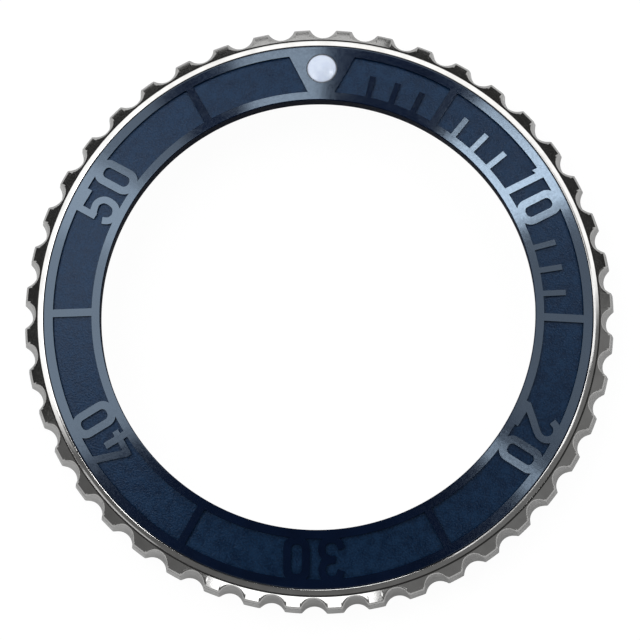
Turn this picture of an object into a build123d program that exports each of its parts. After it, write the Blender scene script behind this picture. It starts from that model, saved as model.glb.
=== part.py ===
from build123d import *
from math import asin, cos, degrees, hypot, radians, sin, sqrt, tan
import os

os.makedirs("parts", exist_ok=True)

# Rotating watch bezel with a scalloped grip, a conical ceramic insert and a one-way click.
# Millimetres. +Z points out of the watch, +Y is 12 o'clock, and the origin is on the
# turning axis in the underside of the fixed seat ring.

# Ceramic insert. Its opening sets the diameter of the whole part.
OPENING_R = 15.45
INSERT_WIDTH = 4.10
INSERT_SLOPE = 15.2
INSERT_THICKNESS = 0.70
INSERT_EDGE_BREAK = 0.08
SKIRT_WALL = 0.65
SKIRT_ABOVE_WEB = 0.30

# Relief of the insert: a floor cut between two borders
BORDER_OUTER_WIDTH = 0.65
BORDER_INNER_WIDTH = 0.60
RELIEF_DEPTH = 0.17
BAR_WIDTH = 0.50
BAR_ANGLES = (30, 90, 150, 210, 270, 330)
HASH_MINUTES = (2, 3, 4, 6, 7, 8, 12, 13, 14)
HASH_WIDTH = 0.35
HASH_LENGTH = 1.60
DEGREES_PER_MINUTE = 6
TRIANGLE_HALF_WIDTH_OUTER = 2.40
TRIANGLE_HALF_WIDTH_INNER = 0.93

# Bed and lip of the insert gasket
GASKET_BED = 0.08
GASKET_LIP = 0.04
GASKET_LIP_DROP = 0.10

# Bezel ring: rim, flank and grip wall outside, web, rib and bore inside
RIM_WIDTH = 0.43
RIM_BELOW_INSERT = 0.03
RIM_STEP = 0.18
RIM_ROUND = 0.15
FLANK_WIDTH = 0.88
FLANK_HEIGHT = 0.70
FLANK_EDGE = 0.20
GRIP_WALL_DRAFT = 0.10
GRIP_UNDER_BREAK = 0.15
GRIP_WALL = 2.03
WEB_AT_EDGE = 0.25
WEB_BORE_CLEARANCE = 0.05
RIB_WIDTH = 1.05

# Scallops round the grip
SCALLOP_COUNT = 44
SCALLOP_R = 1.0
SCALLOP_DEPTH = 0.54
SCALLOP_LEAN = 6.8

# Luminous pearl at 12 o'clock
PEARL_TO_BORDER = 0.03
PEARL_LENS_R = 1.02
PEARL_CUP_WALL = 0.07
PEARL_FLOOR = 0.12
PEARL_LUME_HEIGHT = 0.45
PEARL_CUP_DEPTH = 1.06
PEARL_CROWN_R = 3.5
PEARL_CUP_DROP = 0.04
PEARL_FIT = 0.01

# Seat ring, the fixed part that the bezel turns on, and its running clearances
SEAT_INSIDE_RIB = 0.30
SEAT_HEIGHT = 1.6
SEAT_EDGE_BREAK = 0.10
SPIN_CLEARANCE = 0.05
UNDER_CLEARANCE = 0.8

# Ratchet ring under the web, and the pins that hold it
TOOTH_COUNT = 120
TOOTH_DEPTH = 0.25
TOOTH_CREST = 0.12
RATCHET_WIDTH = 1.40
RATCHET_BACKING = 0.30
RATCHET_INNER_CLEARANCE = 0.10
RATCHET_OUTER_CLEARANCE = 0.12
TOOTH_TO_SEAT = 0.15
DOWEL_COUNT = 3
DOWEL_R = 0.22
DOWEL_DEPTH = 0.24
DOWEL_PLACE_ANGLE = 30

# Pin that indexes the insert to the ring
KEY_R = 0.25
KEY_TO_SKIRT = 1.10
KEY_PLACE_ANGLE = 270
KEY_IN_RING = 0.40
KEY_IN_INSERT = 0.30
KEY_END_CLEARANCE = 0.03

# Glide washer between the rib and the seat ring
WASHER_CLEARANCE = 0.02
WASHER_HEIGHT = 0.18

# Click plungers and their springs
PLUNGER_COUNT = 3
PLUNGER_R = 0.35
PLUNGER_SETBACK = 0.50
PLUNGER_FIT = 0.03
PLUNGER_FLAT = 0.05
PLUNGER_LENGTH = 1.0
PLUNGER_TOOTH_GAP = 0.04
BORE_FLOOR = 0.25
SPRING_WIRE = 0.08
SPRING_TURNS = 3
SPRING_FIT = 0.02

# Split retaining ring of flat wire between seat ring and bezel ring
SNAP_WIDTH = 0.42
SNAP_HEIGHT = 0.36
SNAP_SLACK = 0.03
SNAP_SPLIT = 10

# Case gasket in the underside of the seat ring
CASE_GASKET_SETBACK = 0.60
CASE_GASKET_WIDTH = 0.60
CASE_GASKET_HEIGHT = 0.36
CASE_GASKET_SLACK = 0.02

# One length by which every cutter runs past what it cuts
OVERRUN = 1.0

# Radii, worked out from the opening outwards and from the grip back inwards
INSERT_R = OPENING_R + INSERT_WIDTH
SKIRT_R = OPENING_R + SKIRT_WALL
FLOOR_INNER_R = OPENING_R + BORDER_INNER_WIDTH
FLOOR_OUTER_R = INSERT_R - BORDER_OUTER_WIDTH
POCKET_R = INSERT_R + GASKET_LIP
RIM_R = POCKET_R + RIM_WIDTH
FLANK_FOOT_R = RIM_R + FLANK_WIDTH
GRIP_R = FLANK_FOOT_R + GRIP_WALL_DRAFT
BORE_R = GRIP_R - GRIP_WALL
SEAT_R = BORE_R - SPIN_CLEARANCE
WEB_INNER_R = SKIRT_R + WEB_BORE_CLEARANCE
RATCHET_OUTER_R = BORE_R - RATCHET_OUTER_CLEARANCE
RATCHET_INNER_R = RATCHET_OUTER_R - RATCHET_WIDTH
RIB_OUTER_R = RATCHET_INNER_R - RATCHET_INNER_CLEARANCE
RIB_INNER_R = RIB_OUTER_R - RIB_WIDTH
SEAT_BORE_R = RIB_INNER_R - SEAT_INSIDE_RIB
PLUNGER_PLACE_R = RATCHET_INNER_R + PLUNGER_SETBACK
PEARL_PLACE_R = FLOOR_OUTER_R - PEARL_TO_BORDER - PEARL_LENS_R
KEY_PLACE_R = SKIRT_R + KEY_TO_SKIRT
CASE_GASKET_R = SEAT_BORE_R + CASE_GASKET_SETBACK
SNAP_PLACE_R = (SEAT_R + BORE_R) / 2
GROOVE_INNER_R = SNAP_PLACE_R - SNAP_WIDTH / 2 - SNAP_SLACK
GROOVE_OUTER_R = SNAP_PLACE_R + SNAP_WIDTH / 2 + SNAP_SLACK

# Heights, worked out from the seat ring's underside upwards
WASHER_TOP = SEAT_HEIGHT + WASHER_HEIGHT
CREST_Z = SEAT_HEIGHT + TOOTH_TO_SEAT
TOOTH_ROOT_Z = CREST_Z + TOOTH_DEPTH
WEB_UNDER_Z = TOOTH_ROOT_Z + RATCHET_BACKING
SKIRT_BOTTOM_Z = WEB_UNDER_Z + SKIRT_ABOVE_WEB
INSERT_EDGE_Z = WEB_UNDER_Z + WEB_AT_EDGE + GASKET_BED + INSERT_THICKNESS
RIM_Z = INSERT_EDGE_Z - RIM_BELOW_INSERT
RIM_FOOT_Z = RIM_Z - RIM_STEP
GRIP_TOP_Z = RIM_FOOT_Z - FLANK_HEIGHT
SNAP_Z = (UNDER_CLEARANCE + SEAT_HEIGHT) / 2
GROOVE_LOW_Z = SNAP_Z - SNAP_HEIGHT / 2 - SNAP_SLACK
GROOVE_HIGH_Z = SNAP_Z + SNAP_HEIGHT / 2 + SNAP_SLACK

SLOPE = tan(radians(INSERT_SLOPE))
TOOTH_PITCH = 360 / TOOTH_COUNT


def face_z(r):
    """Height of the insert's conical face at radius r."""
    return INSERT_EDGE_Z + (INSERT_R - r) * SLOPE


def bed_z(r):
    """Height of the insert's underside at radius r."""
    return face_z(r) - INSERT_THICKNESS


def web_z(r):
    """Height of the web's top, under the gasket bed, at radius r."""
    return bed_z(r) - GASKET_BED


def turned(*points):
    """Solid of revolution about Z from the (radius, height) points of its section."""
    outline = Polyline(*[(r, 0, z) for r, z in points], close=True)
    return revolve(make_face(outline), Axis.Z)


def ring(inner_r, outer_r, low_z, high_z):
    """Plain ring with a rectangular section."""
    return turned((inner_r, low_z), (outer_r, low_z), (outer_r, high_z), (inner_r, high_z))


def clock(angle):
    """Placement with X pointing outwards at an angle clockwise from 12 o'clock."""
    return Rot(0, 0, 90 - angle)


def pin(radius, low_z, high_z):
    """Upright cylinder on the placement's origin."""
    return Pos(0, 0, (low_z + high_z) / 2) * Cylinder(radius, high_z - low_z)


def cut(body, tools):
    """Body with all the tools cut away at once."""
    result = body.cut(*[solid for tool in tools for solid in tool.solids()])
    return Part(result.solids()[0].wrapped) if isinstance(result, ShapeList) else result


def save(shape, name):
    """Write one node's STEP file."""
    solids = shape.solids()
    body = solids[0] if len(solids) == 1 else Compound(children=list(solids))
    body.label = name
    export_step(body, f"parts/{name}.step")
    print(name, len(solids), "solid(s)", round(sum(s.volume for s in solids), 4), "mm3")


# Fixed seat ring

PLUNGER_ANGLES = [360 * i / PLUNGER_COUNT for i in range(PLUNGER_COUNT)]


def seat_ring():
    """Fixed ring: bore, outer guide face, snap groove, gasket groove and plunger bores."""
    body = turned(
        (SEAT_BORE_R, 0),
        (SEAT_R, 0),
        (SEAT_R, GROOVE_LOW_Z),
        (GROOVE_INNER_R, GROOVE_LOW_Z),
        (GROOVE_INNER_R, GROOVE_HIGH_Z),
        (SEAT_R, GROOVE_HIGH_Z),
        (SEAT_R, SEAT_HEIGHT - SEAT_EDGE_BREAK),
        (SEAT_R - SEAT_EDGE_BREAK, SEAT_HEIGHT),
        (SEAT_BORE_R, SEAT_HEIGHT),
    )
    groove_low = CASE_GASKET_R - CASE_GASKET_SLACK
    groove_high = CASE_GASKET_R + CASE_GASKET_WIDTH + CASE_GASKET_SLACK
    groove_top = CASE_GASKET_HEIGHT + 2 * CASE_GASKET_SLACK
    tools = [ring(groove_low, groove_high, -OVERRUN, groove_top)]
    bore = pin(PLUNGER_R + PLUNGER_FIT, BORE_FLOOR, SEAT_HEIGHT + OVERRUN)
    for angle in PLUNGER_ANGLES:
        tools.append(clock(angle) * Pos(PLUNGER_PLACE_R, 0, 0) * bore)
    return cut(body, tools)


def retaining_ring():
    """Split flat ring, half in the seat ring's groove and half in the bezel's."""
    low = SNAP_Z - SNAP_HEIGHT / 2
    section = Polyline(
        (SNAP_PLACE_R - SNAP_WIDTH / 2, 0, low),
        (SNAP_PLACE_R + SNAP_WIDTH / 2, 0, low),
        (SNAP_PLACE_R + SNAP_WIDTH / 2, 0, low + SNAP_HEIGHT),
        (SNAP_PLACE_R - SNAP_WIDTH / 2, 0, low + SNAP_HEIGHT),
        close=True,
    )
    return clock(SNAP_SPLIT / 2) * revolve(make_face(section), Axis.Z, 360 - SNAP_SPLIT)


def glide_washer():
    """Flat washer on the seat ring, under the bezel's inner rib."""
    inner = RIB_INNER_R + WASHER_CLEARANCE
    outer = RIB_OUTER_R - WASHER_CLEARANCE
    return ring(inner, outer, SEAT_HEIGHT, WASHER_TOP)


def case_gasket():
    """Flat seal in the underside of the seat ring."""
    outer = CASE_GASKET_R + CASE_GASKET_WIDTH
    low = CASE_GASKET_SLACK
    return ring(CASE_GASKET_R, outer, low, low + CASE_GASKET_HEIGHT)


# Click

GAP_WIDTH = 2 * PLUNGER_PLACE_R * sin(radians(TOOTH_PITCH) / 2) - TOOTH_CREST
RAMP = TOOTH_DEPTH / GAP_WIDTH
FLAT_X = PLUNGER_R - PLUNGER_FLAT
STOP_X = FLAT_X + PLUNGER_TOOTH_GAP
TOOTH_PHASE = degrees(asin(STOP_X / PLUNGER_PLACE_R))


def ramp_z(x):
    """Height of the tooth's ramp, x along the turning direction from the plunger's axis."""
    return TOOTH_ROOT_Z - (STOP_X - x) * RAMP


def tooth_gap():
    """Cutter for one gap, its steep face in the XZ plane, narrowing towards the centre."""
    faces = []
    for r in (RATCHET_INNER_R - OVERRUN, RATCHET_OUTER_R + OVERRUN):
        width = 2 * r * sin(radians(TOOTH_PITCH) / 2) - TOOTH_CREST * r / PLUNGER_PLACE_R
        low = CREST_Z - TOOTH_DEPTH
        points = [
            (r, -width, CREST_Z),
            (r, 0, TOOTH_ROOT_Z),
            (r, 0, low),
            (r, -width, low),
        ]
        faces.append(make_face(Polyline(*points, close=True)))
    return Part(Solid.make_loft([f.face().outer_wire() for f in faces], ruled=True).wrapped)


def ratchet_ring():
    """Ring with saw teeth on its underside and holes for its dowels."""
    body = ring(RATCHET_INNER_R, RATCHET_OUTER_R, CREST_Z, WEB_UNDER_Z)
    gap = tooth_gap()
    tools = []
    for i in range(TOOTH_COUNT):
        tools.append(clock(0) * Rot(0, 0, TOOTH_PHASE + i * TOOTH_PITCH) * gap)
    for place in dowel_places():
        tools.append(place * pin(DOWEL_R, CREST_Z - OVERRUN, WEB_UNDER_Z + OVERRUN))
    return cut(body, tools)


def dowel_places():
    """Placements of the ratchet dowels, midway across the ratchet ring."""
    middle = (RATCHET_INNER_R + RATCHET_OUTER_R) / 2
    step = 360 / DOWEL_COUNT
    return [clock(DOWEL_PLACE_ANGLE + i * step) * Pos(middle, 0, 0) for i in range(DOWEL_COUNT)]


def ratchet_dowels():
    """Pins pressed up through the ratchet ring into the web."""
    body = pin(DOWEL_R, TOOTH_ROOT_Z, WEB_UNDER_Z + DOWEL_DEPTH)
    return Part(children=[place * body for place in dowel_places()])


def click_plunger(angle):
    """Round pin whose head is a wedge: a ramp, and a flat towards the tooth's steep face."""
    top = ramp_z(FLAT_X) - PLUNGER_TOOTH_GAP
    low = top - PLUNGER_LENGTH
    body = pin(PLUNGER_R, low, top)
    over = PLUNGER_R + OVERRUN
    drop = PLUNGER_TOOTH_GAP
    ramp = make_face(Polyline(
        (0, over, ramp_z(over) - drop),
        (0, over, ramp_z(over) + OVERRUN),
        (0, -over, ramp_z(over) + OVERRUN),
        (0, -over, ramp_z(-over) - drop),
        close=True,
    ))
    ramp_tool = extrude(ramp, over, dir=(1, 0, 0), both=True)
    flat_low = SEAT_HEIGHT
    flat_size = (2 * over, OVERRUN, top - flat_low + OVERRUN)
    flat_tool = Pos(0, FLAT_X + OVERRUN / 2, flat_low + flat_size[2] / 2) * Box(*flat_size)
    head = cut(body, [ramp_tool, flat_tool])
    return clock(angle) * Pos(PLUNGER_PLACE_R, 0, 0) * head


def click_spring(angle):
    """Coil spring of square wire between the bore's floor and the plunger's foot."""
    top = ramp_z(FLAT_X) - PLUNGER_TOOTH_GAP - PLUNGER_LENGTH
    mean_r = PLUNGER_R - SPRING_FIT - SPRING_WIRE / 2
    height = top - BORE_FLOOR - 2 * SPRING_WIRE
    path = Helix(height / SPRING_TURNS, height, mean_r)
    section = Plane(path @ 0, x_dir=(1, 0, 0), z_dir=path % 0) * Rectangle(SPRING_WIRE, SPRING_WIRE)
    coil = sweep(section, path, is_frenet=True)
    return clock(angle) * Pos(PLUNGER_PLACE_R, 0, BORE_FLOOR + SPRING_WIRE) * coil


# Bezel ring

def bezel_section():
    """Section of the bezel ring: grip wall, flank, rim, insert pocket, web, rib and bore."""
    edge_share = FLANK_EDGE / hypot(FLANK_WIDTH, FLANK_HEIGHT)
    edge_r = FLANK_FOOT_R - edge_share * FLANK_WIDTH
    edge_z = GRIP_TOP_Z + edge_share * FLANK_HEIGHT
    wall_z = GRIP_TOP_Z - FLANK_EDGE
    wall_r = FLANK_FOOT_R + GRIP_WALL_DRAFT * FLANK_EDGE / (GRIP_TOP_Z - UNDER_CLEARANCE)
    return [
        (BORE_R, UNDER_CLEARANCE),
        (GRIP_R - GRIP_UNDER_BREAK, UNDER_CLEARANCE),
        (GRIP_R, UNDER_CLEARANCE + GRIP_UNDER_BREAK),
        (wall_r, wall_z),
        (edge_r, edge_z),
        (RIM_R, RIM_FOOT_Z),
        (RIM_R, RIM_Z - RIM_ROUND),
        (RIM_R - RIM_ROUND, RIM_Z),
        (POCKET_R, RIM_Z),
        (POCKET_R, web_z(POCKET_R)),
        (WEB_INNER_R, web_z(WEB_INNER_R)),
        (WEB_INNER_R, WEB_UNDER_Z),
        (RIB_INNER_R, WEB_UNDER_Z),
        (RIB_INNER_R, WASHER_TOP),
        (RIB_OUTER_R, WASHER_TOP),
        (RIB_OUTER_R, WEB_UNDER_Z),
        (BORE_R, WEB_UNDER_Z),
        (BORE_R, GROOVE_HIGH_Z),
        (GROOVE_OUTER_R, GROOVE_HIGH_Z),
        (GROOVE_OUTER_R, GROOVE_LOW_Z),
        (BORE_R, GROOVE_LOW_Z),
    ]


def scallop_tool():
    """Leaning cylinder that cuts one scallop, on the placement's X axis."""
    length = RIM_Z - UNDER_CLEARANCE + 2 * OVERRUN
    cutter = Cylinder(SCALLOP_R, length)
    centre_r = GRIP_R - SCALLOP_DEPTH + SCALLOP_R
    lean = Rot(0, -SCALLOP_LEAN, 0)
    return Pos(centre_r, 0, UNDER_CLEARANCE) * lean * Pos(0, 0, length / 2 - OVERRUN) * cutter


def bezel_ring():
    """Turned ring with its scallops, pearl pocket, key hole and dowel holes."""
    body = turned(*bezel_section())
    scallop = scallop_tool()
    tools = [clock(360 * i / SCALLOP_COUNT) * scallop for i in range(SCALLOP_COUNT)]
    cup_bottom = face_z(PEARL_PLACE_R) - PEARL_CUP_DEPTH
    cup_r = PEARL_LENS_R + PEARL_CUP_WALL + PEARL_FIT
    tools.append(clock(0) * Pos(PEARL_PLACE_R, 0, 0) * pin(cup_r, cup_bottom, RIM_Z + OVERRUN))
    key_low = web_z(KEY_PLACE_R) - KEY_IN_RING
    tools.append(key_place() * pin(KEY_R, key_low, key_low + KEY_IN_RING + OVERRUN))
    for place in dowel_places():
        tools.append(place * pin(DOWEL_R, WEB_UNDER_Z - OVERRUN, WEB_UNDER_Z + DOWEL_DEPTH))
    return cut(body, tools)


def key_place():
    """Placement of the pin that indexes the insert to the ring."""
    return clock(KEY_PLACE_ANGLE) * Pos(KEY_PLACE_R, 0, 0)


def insert_key():
    """Index pin from the web into a blind hole in the insert."""
    low = web_z(KEY_PLACE_R) - KEY_IN_RING
    return key_place() * pin(KEY_R, low, bed_z(KEY_PLACE_R) + KEY_IN_INSERT - KEY_END_CLEARANCE)


# Insert

def relief_ring():
    """Ring between the borders whose underside is the relief's floor."""
    high = face_z(FLOOR_INNER_R) + OVERRUN
    return turned(
        (FLOOR_INNER_R, face_z(FLOOR_INNER_R) - RELIEF_DEPTH),
        (FLOOR_OUTER_R, face_z(FLOOR_OUTER_R) - RELIEF_DEPTH),
        (FLOOR_OUTER_R, high),
        (FLOOR_INNER_R, high),
    )


def mark(angle, inner_r, outer_r, width):
    """Upright block that keeps one straight mark standing in the relief."""
    height = face_z(OPENING_R) + OVERRUN
    place = Pos((inner_r + outer_r) / 2, 0, height / 2)
    return clock(angle) * place * Box(outer_r - inner_r, width, height)


def triangle():
    """Upright prism that keeps the inverted triangle standing at 12 o'clock."""
    spread = TRIANGLE_HALF_WIDTH_OUTER - TRIANGLE_HALF_WIDTH_INNER
    side = spread / (FLOOR_OUTER_R - FLOOR_INNER_R)
    low_r = FLOOR_INNER_R - BORDER_INNER_WIDTH / 2
    high_r = FLOOR_OUTER_R + BORDER_OUTER_WIDTH / 2
    low_half = TRIANGLE_HALF_WIDTH_INNER - side * BORDER_INNER_WIDTH / 2
    high_half = TRIANGLE_HALF_WIDTH_OUTER + side * BORDER_OUTER_WIDTH / 2
    outline = Polyline(
        (low_r, -low_half), (high_r, -high_half), (high_r, high_half), (low_r, low_half), close=True
    )
    return clock(0) * extrude(make_face(outline), face_z(OPENING_R) + OVERRUN)


def standing_marks():
    """Everything that stands at face height between the borders."""
    low_r = FLOOR_INNER_R - BORDER_INNER_WIDTH / 2
    high_r = FLOOR_OUTER_R + BORDER_OUTER_WIDTH / 2
    marks = [mark(angle, low_r, high_r, BAR_WIDTH) for angle in BAR_ANGLES]
    hash_r = FLOOR_INNER_R + HASH_LENGTH
    for minute in HASH_MINUTES:
        marks.append(mark(minute * DEGREES_PER_MINUTE, low_r, hash_r, HASH_WIDTH))
    marks.append(triangle())
    return marks


def bezel_insert():
    """Conical ceramic ring with its skirt, relief, pearl hole and key hole."""
    edge = INSERT_EDGE_BREAK
    body = turned(
        (OPENING_R, SKIRT_BOTTOM_Z),
        (SKIRT_R, SKIRT_BOTTOM_Z),
        (SKIRT_R, bed_z(SKIRT_R)),
        (INSERT_R, bed_z(INSERT_R)),
        (INSERT_R, face_z(INSERT_R) - edge),
        (INSERT_R - edge, face_z(INSERT_R - edge)),
        (OPENING_R + edge, face_z(OPENING_R + edge)),
        (OPENING_R, face_z(OPENING_R + edge) - edge),
    )
    relief = cut(relief_ring(), standing_marks())
    hole_r = PEARL_LENS_R + PEARL_CUP_WALL + PEARL_FIT
    hole = pin(hole_r, UNDER_CLEARANCE, face_z(OPENING_R) + OVERRUN)
    key_low = bed_z(KEY_PLACE_R) - OVERRUN
    key = pin(KEY_R, key_low, bed_z(KEY_PLACE_R) + KEY_IN_INSERT)
    return cut(body, [relief, clock(0) * Pos(PEARL_PLACE_R, 0, 0) * hole, key_place() * key])


def insert_gasket():
    """Thin bed under the insert with a lip round its edge."""
    lip_z = face_z(INSERT_R) - GASKET_LIP_DROP
    inner = WEB_INNER_R
    body = turned(
        (inner, web_z(inner)),
        (POCKET_R, web_z(POCKET_R)),
        (POCKET_R, lip_z),
        (INSERT_R, lip_z),
        (INSERT_R, bed_z(INSERT_R)),
        (inner, bed_z(inner)),
    )
    hole_r = PEARL_LENS_R + PEARL_CUP_WALL + PEARL_FIT
    hole = pin(hole_r, UNDER_CLEARANCE, RIM_Z + OVERRUN)
    key = pin(KEY_R, UNDER_CLEARANCE, RIM_Z + OVERRUN)
    return cut(body, [clock(0) * Pos(PEARL_PLACE_R, 0, 0) * hole, key_place() * key])


# Pearl

CUP_BOTTOM_Z = face_z(PEARL_PLACE_R) - PEARL_CUP_DEPTH


def above_face(drop):
    """Tool that removes what stands above the insert's slope at the pearl, less a drop."""
    size = 2 * (PEARL_LENS_R + PEARL_CUP_WALL + OVERRUN)
    block = Pos(0, 0, OVERRUN) * Box(size, size, 2 * OVERRUN)
    return Pos(0, 0, face_z(PEARL_PLACE_R) - drop) * Rot(0, INSERT_SLOPE, 0) * block


def pearl_place():
    """Placement of the pearl's axis."""
    return clock(0) * Pos(PEARL_PLACE_R, 0, 0)


def pearl_cup():
    """Thin cup, cut to the slope of the insert."""
    outer = PEARL_LENS_R + PEARL_CUP_WALL
    body = pin(outer, CUP_BOTTOM_Z, face_z(PEARL_PLACE_R) + OVERRUN)
    hollow = pin(PEARL_LENS_R, CUP_BOTTOM_Z + PEARL_FLOOR, face_z(PEARL_PLACE_R) + 2 * OVERRUN)
    return pearl_place() * cut(body, [hollow, above_face(PEARL_CUP_DROP)])


def pearl_lume():
    """Disc of luminous fill in the cup."""
    low = CUP_BOTTOM_Z + PEARL_FLOOR
    return pearl_place() * pin(PEARL_LENS_R, low, low + PEARL_LUME_HEIGHT)


def pearl_lens():
    """Clear lens over the fill, its crown square to the insert's slope."""
    low = CUP_BOTTOM_Z + PEARL_FLOOR + PEARL_LUME_HEIGHT
    body = pin(PEARL_LENS_R, low, face_z(PEARL_PLACE_R) + OVERRUN)
    sink = sqrt(PEARL_CROWN_R ** 2 - PEARL_LENS_R ** 2)
    slope = radians(INSERT_SLOPE)
    centre = Pos(-sink * sin(slope), 0, face_z(PEARL_PLACE_R) - sink * cos(slope))
    return pearl_place() * (body & centre * Sphere(PEARL_CROWN_R))


NODES = {
    "seat_ring": seat_ring,
    "retaining_ring": retaining_ring,
    "glide_washer": glide_washer,
    "case_gasket": case_gasket,
    "bezel_ring": bezel_ring,
    "bezel_insert": bezel_insert,
    "insert_gasket": insert_gasket,
    "insert_key": insert_key,
    "ratchet_ring": ratchet_ring,
    "ratchet_dowels": ratchet_dowels,
    "pearl_cup": pearl_cup,
    "pearl_lume": pearl_lume,
    "pearl_lens": pearl_lens,
}

for name, make in NODES.items():
    save(make(), name)

for number, angle in enumerate(PLUNGER_ANGLES, start=1):
    save(click_plunger(angle), f"click_plunger_{number}")
    save(click_spring(angle), f"click_spring_{number}")
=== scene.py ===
"""Looks of a rotating watch bezel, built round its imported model.

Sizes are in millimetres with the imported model's origin and axes: +Z points out of the
watch, +Y is 12 o'clock, and the turning axis is Z. Each piece is modelled at that scale
and brought to metres when it is finished. Angles on the dial are degrees clockwise from
12 o'clock.
"""

from __future__ import annotations

import logging
import math
from collections.abc import Callable, Iterator, Sequence
from contextlib import contextmanager
from dataclasses import dataclass
from enum import Enum, IntEnum

import bmesh
import bpy
from mathutils import Matrix, Vector

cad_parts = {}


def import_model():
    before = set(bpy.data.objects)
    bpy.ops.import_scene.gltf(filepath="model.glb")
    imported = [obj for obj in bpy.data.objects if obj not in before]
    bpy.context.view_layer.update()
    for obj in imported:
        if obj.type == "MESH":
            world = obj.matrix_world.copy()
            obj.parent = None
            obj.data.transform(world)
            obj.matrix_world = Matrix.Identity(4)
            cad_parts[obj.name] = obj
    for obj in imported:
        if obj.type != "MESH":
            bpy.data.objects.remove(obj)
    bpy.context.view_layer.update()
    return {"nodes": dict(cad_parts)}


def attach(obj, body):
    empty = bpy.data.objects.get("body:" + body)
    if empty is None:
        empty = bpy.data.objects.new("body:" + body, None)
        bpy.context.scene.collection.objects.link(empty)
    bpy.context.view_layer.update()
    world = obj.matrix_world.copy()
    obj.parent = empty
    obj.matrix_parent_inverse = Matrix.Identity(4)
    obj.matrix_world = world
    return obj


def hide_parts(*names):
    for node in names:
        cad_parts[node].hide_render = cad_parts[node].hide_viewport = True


LOG = logging.getLogger("bezel")
METRES_PER_MM = 0.001
FULL_TURN = 2 * math.pi
WELD = 1e-4
Point = tuple[float, float]
Place = tuple[float, float, float]
Colour = tuple[float, float, float]


# Sizes that several pieces share


@dataclass(frozen=True)
class ConeSizes:
    """The insert's cone, the radii that lie on it and the steel web under it.

    Args:
        edge_r: Radius of the insert's outer edge.
        edge_z: Height of the face at that edge.
        slope: Fall of the face per millimetre outwards.
        opening_r: Radius of the opening.
        skirt_r: Outer radius of the skirt that lines the opening.
        skirt_bottom: Height of the skirt's lower end.
        thickness: Thickness of the insert under its face.
        pocket_r: Radius of the pocket that the insert lies in.
        gasket_bed: Thickness of the seal under the insert.
        web_inner_r: Inner radius of the web and of the seal.
        floor_inner_r: Inner radius of the recessed floor.
        floor_outer_r: Outer radius of the recessed floor.
        relief: Depth of the recessed floor.
        pearl_r: Distance of the pearl from the axis.
        pearl_hole: Radius of the pearl's hole.
        cup_depth: Depth of the pearl's hole below the face.
        key_angle: Where the key pin stands on the dial.
        key_r: Distance of the key pin from the axis.
        key_hole: Radius of its hole.
        key_sides: Segments round its hole.
    """

    edge_r: float = 19.55
    edge_z: float = 3.33
    slope: float = math.tan(math.radians(15.2))
    opening_r: float = 15.45
    skirt_r: float = 16.10
    skirt_bottom: float = 2.60
    thickness: float = 0.70
    pocket_r: float = 19.59
    gasket_bed: float = 0.08
    web_inner_r: float = 16.15
    floor_inner_r: float = 16.05
    floor_outer_r: float = 18.90
    relief: float = 0.17
    pearl_r: float = 17.85
    pearl_hole: float = 1.10
    cup_depth: float = 1.06
    key_angle: float = 270
    key_r: float = 17.20
    key_hole: float = 0.25
    key_sides: int = 24

    def face(self, r: float) -> float:
        """Height of the face at radius r."""
        return self.edge_z + (self.edge_r - r) * self.slope

    def bed(self, r: float) -> float:
        """Height of the insert's underside at radius r."""
        return self.face(r) - self.thickness

    def web(self, r: float) -> float:
        """Height of the steel web under the gasket at radius r."""
        return self.bed(r) - self.gasket_bed


CONE = ConeSizes()
SNAP_LOW, SNAP_HIGH = 0.99, 1.41
TOOL_TOP = 5.0


# Work at the bench


def only(piece: bpy.types.Object) -> None:
    """Make a piece the one selected and active object.

    Args:
        piece: The object that the next operator acts on.
    """
    bpy.ops.object.select_all(action="DESELECT")
    piece.select_set(True)
    bpy.context.view_layer.objects.active = piece


@contextmanager
def editing(piece: bpy.types.Object) -> Iterator[None]:
    """Hold a piece in edit mode with all of it selected.

    Args:
        piece: The mesh object to edit.
    """
    only(piece)
    bpy.ops.object.mode_set(mode="EDIT")
    bpy.ops.mesh.select_mode(type="VERT")
    bpy.ops.mesh.select_all(action="SELECT")
    yield
    bpy.ops.object.mode_set(mode="OBJECT")


def pick_edges(piece: bpy.types.Object, test: Callable[[bmesh.types.BMEdge], bool]) -> None:
    """Select the edges of the mesh in edit mode that pass a test.

    Args:
        piece: The object in edit mode.
        test: Called with each edge.
    """
    bpy.ops.mesh.select_mode(type="EDGE")
    bpy.ops.mesh.select_all(action="DESELECT")
    mesh = bmesh.from_edit_mesh(piece.data)
    for edge in [edge for edge in mesh.edges if test(edge)]:
        edge.select_set(True)
    mesh.select_flush_mode()
    bmesh.update_edit_mesh(piece.data)


def weld(piece: bpy.types.Object) -> None:
    """Merge a piece's doubles and turn its faces outwards.

    Args:
        piece: The mesh object.
    """
    with editing(piece):
        bpy.ops.mesh.remove_doubles(threshold=WELD)
        bpy.ops.mesh.normals_make_consistent(inside=False)


def outline(points: list[Place], filled: bool) -> bpy.types.Object:
    """A circle primitive whose vertices are moved to the points of a closed outline.

    Args:
        points: The outline's corners in order.
        filled: Whether the outline is a face.

    Returns:
        The new object.
    """
    bpy.ops.object.select_all(action="DESELECT")
    bpy.ops.mesh.primitive_circle_add(
        vertices=len(points), radius=1, fill_type="NGON" if filled else "NOTHING"
    )
    piece = bpy.context.object
    for vertex, point in zip(piece.data.vertices, points):
        vertex.co = point
    return piece


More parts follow.
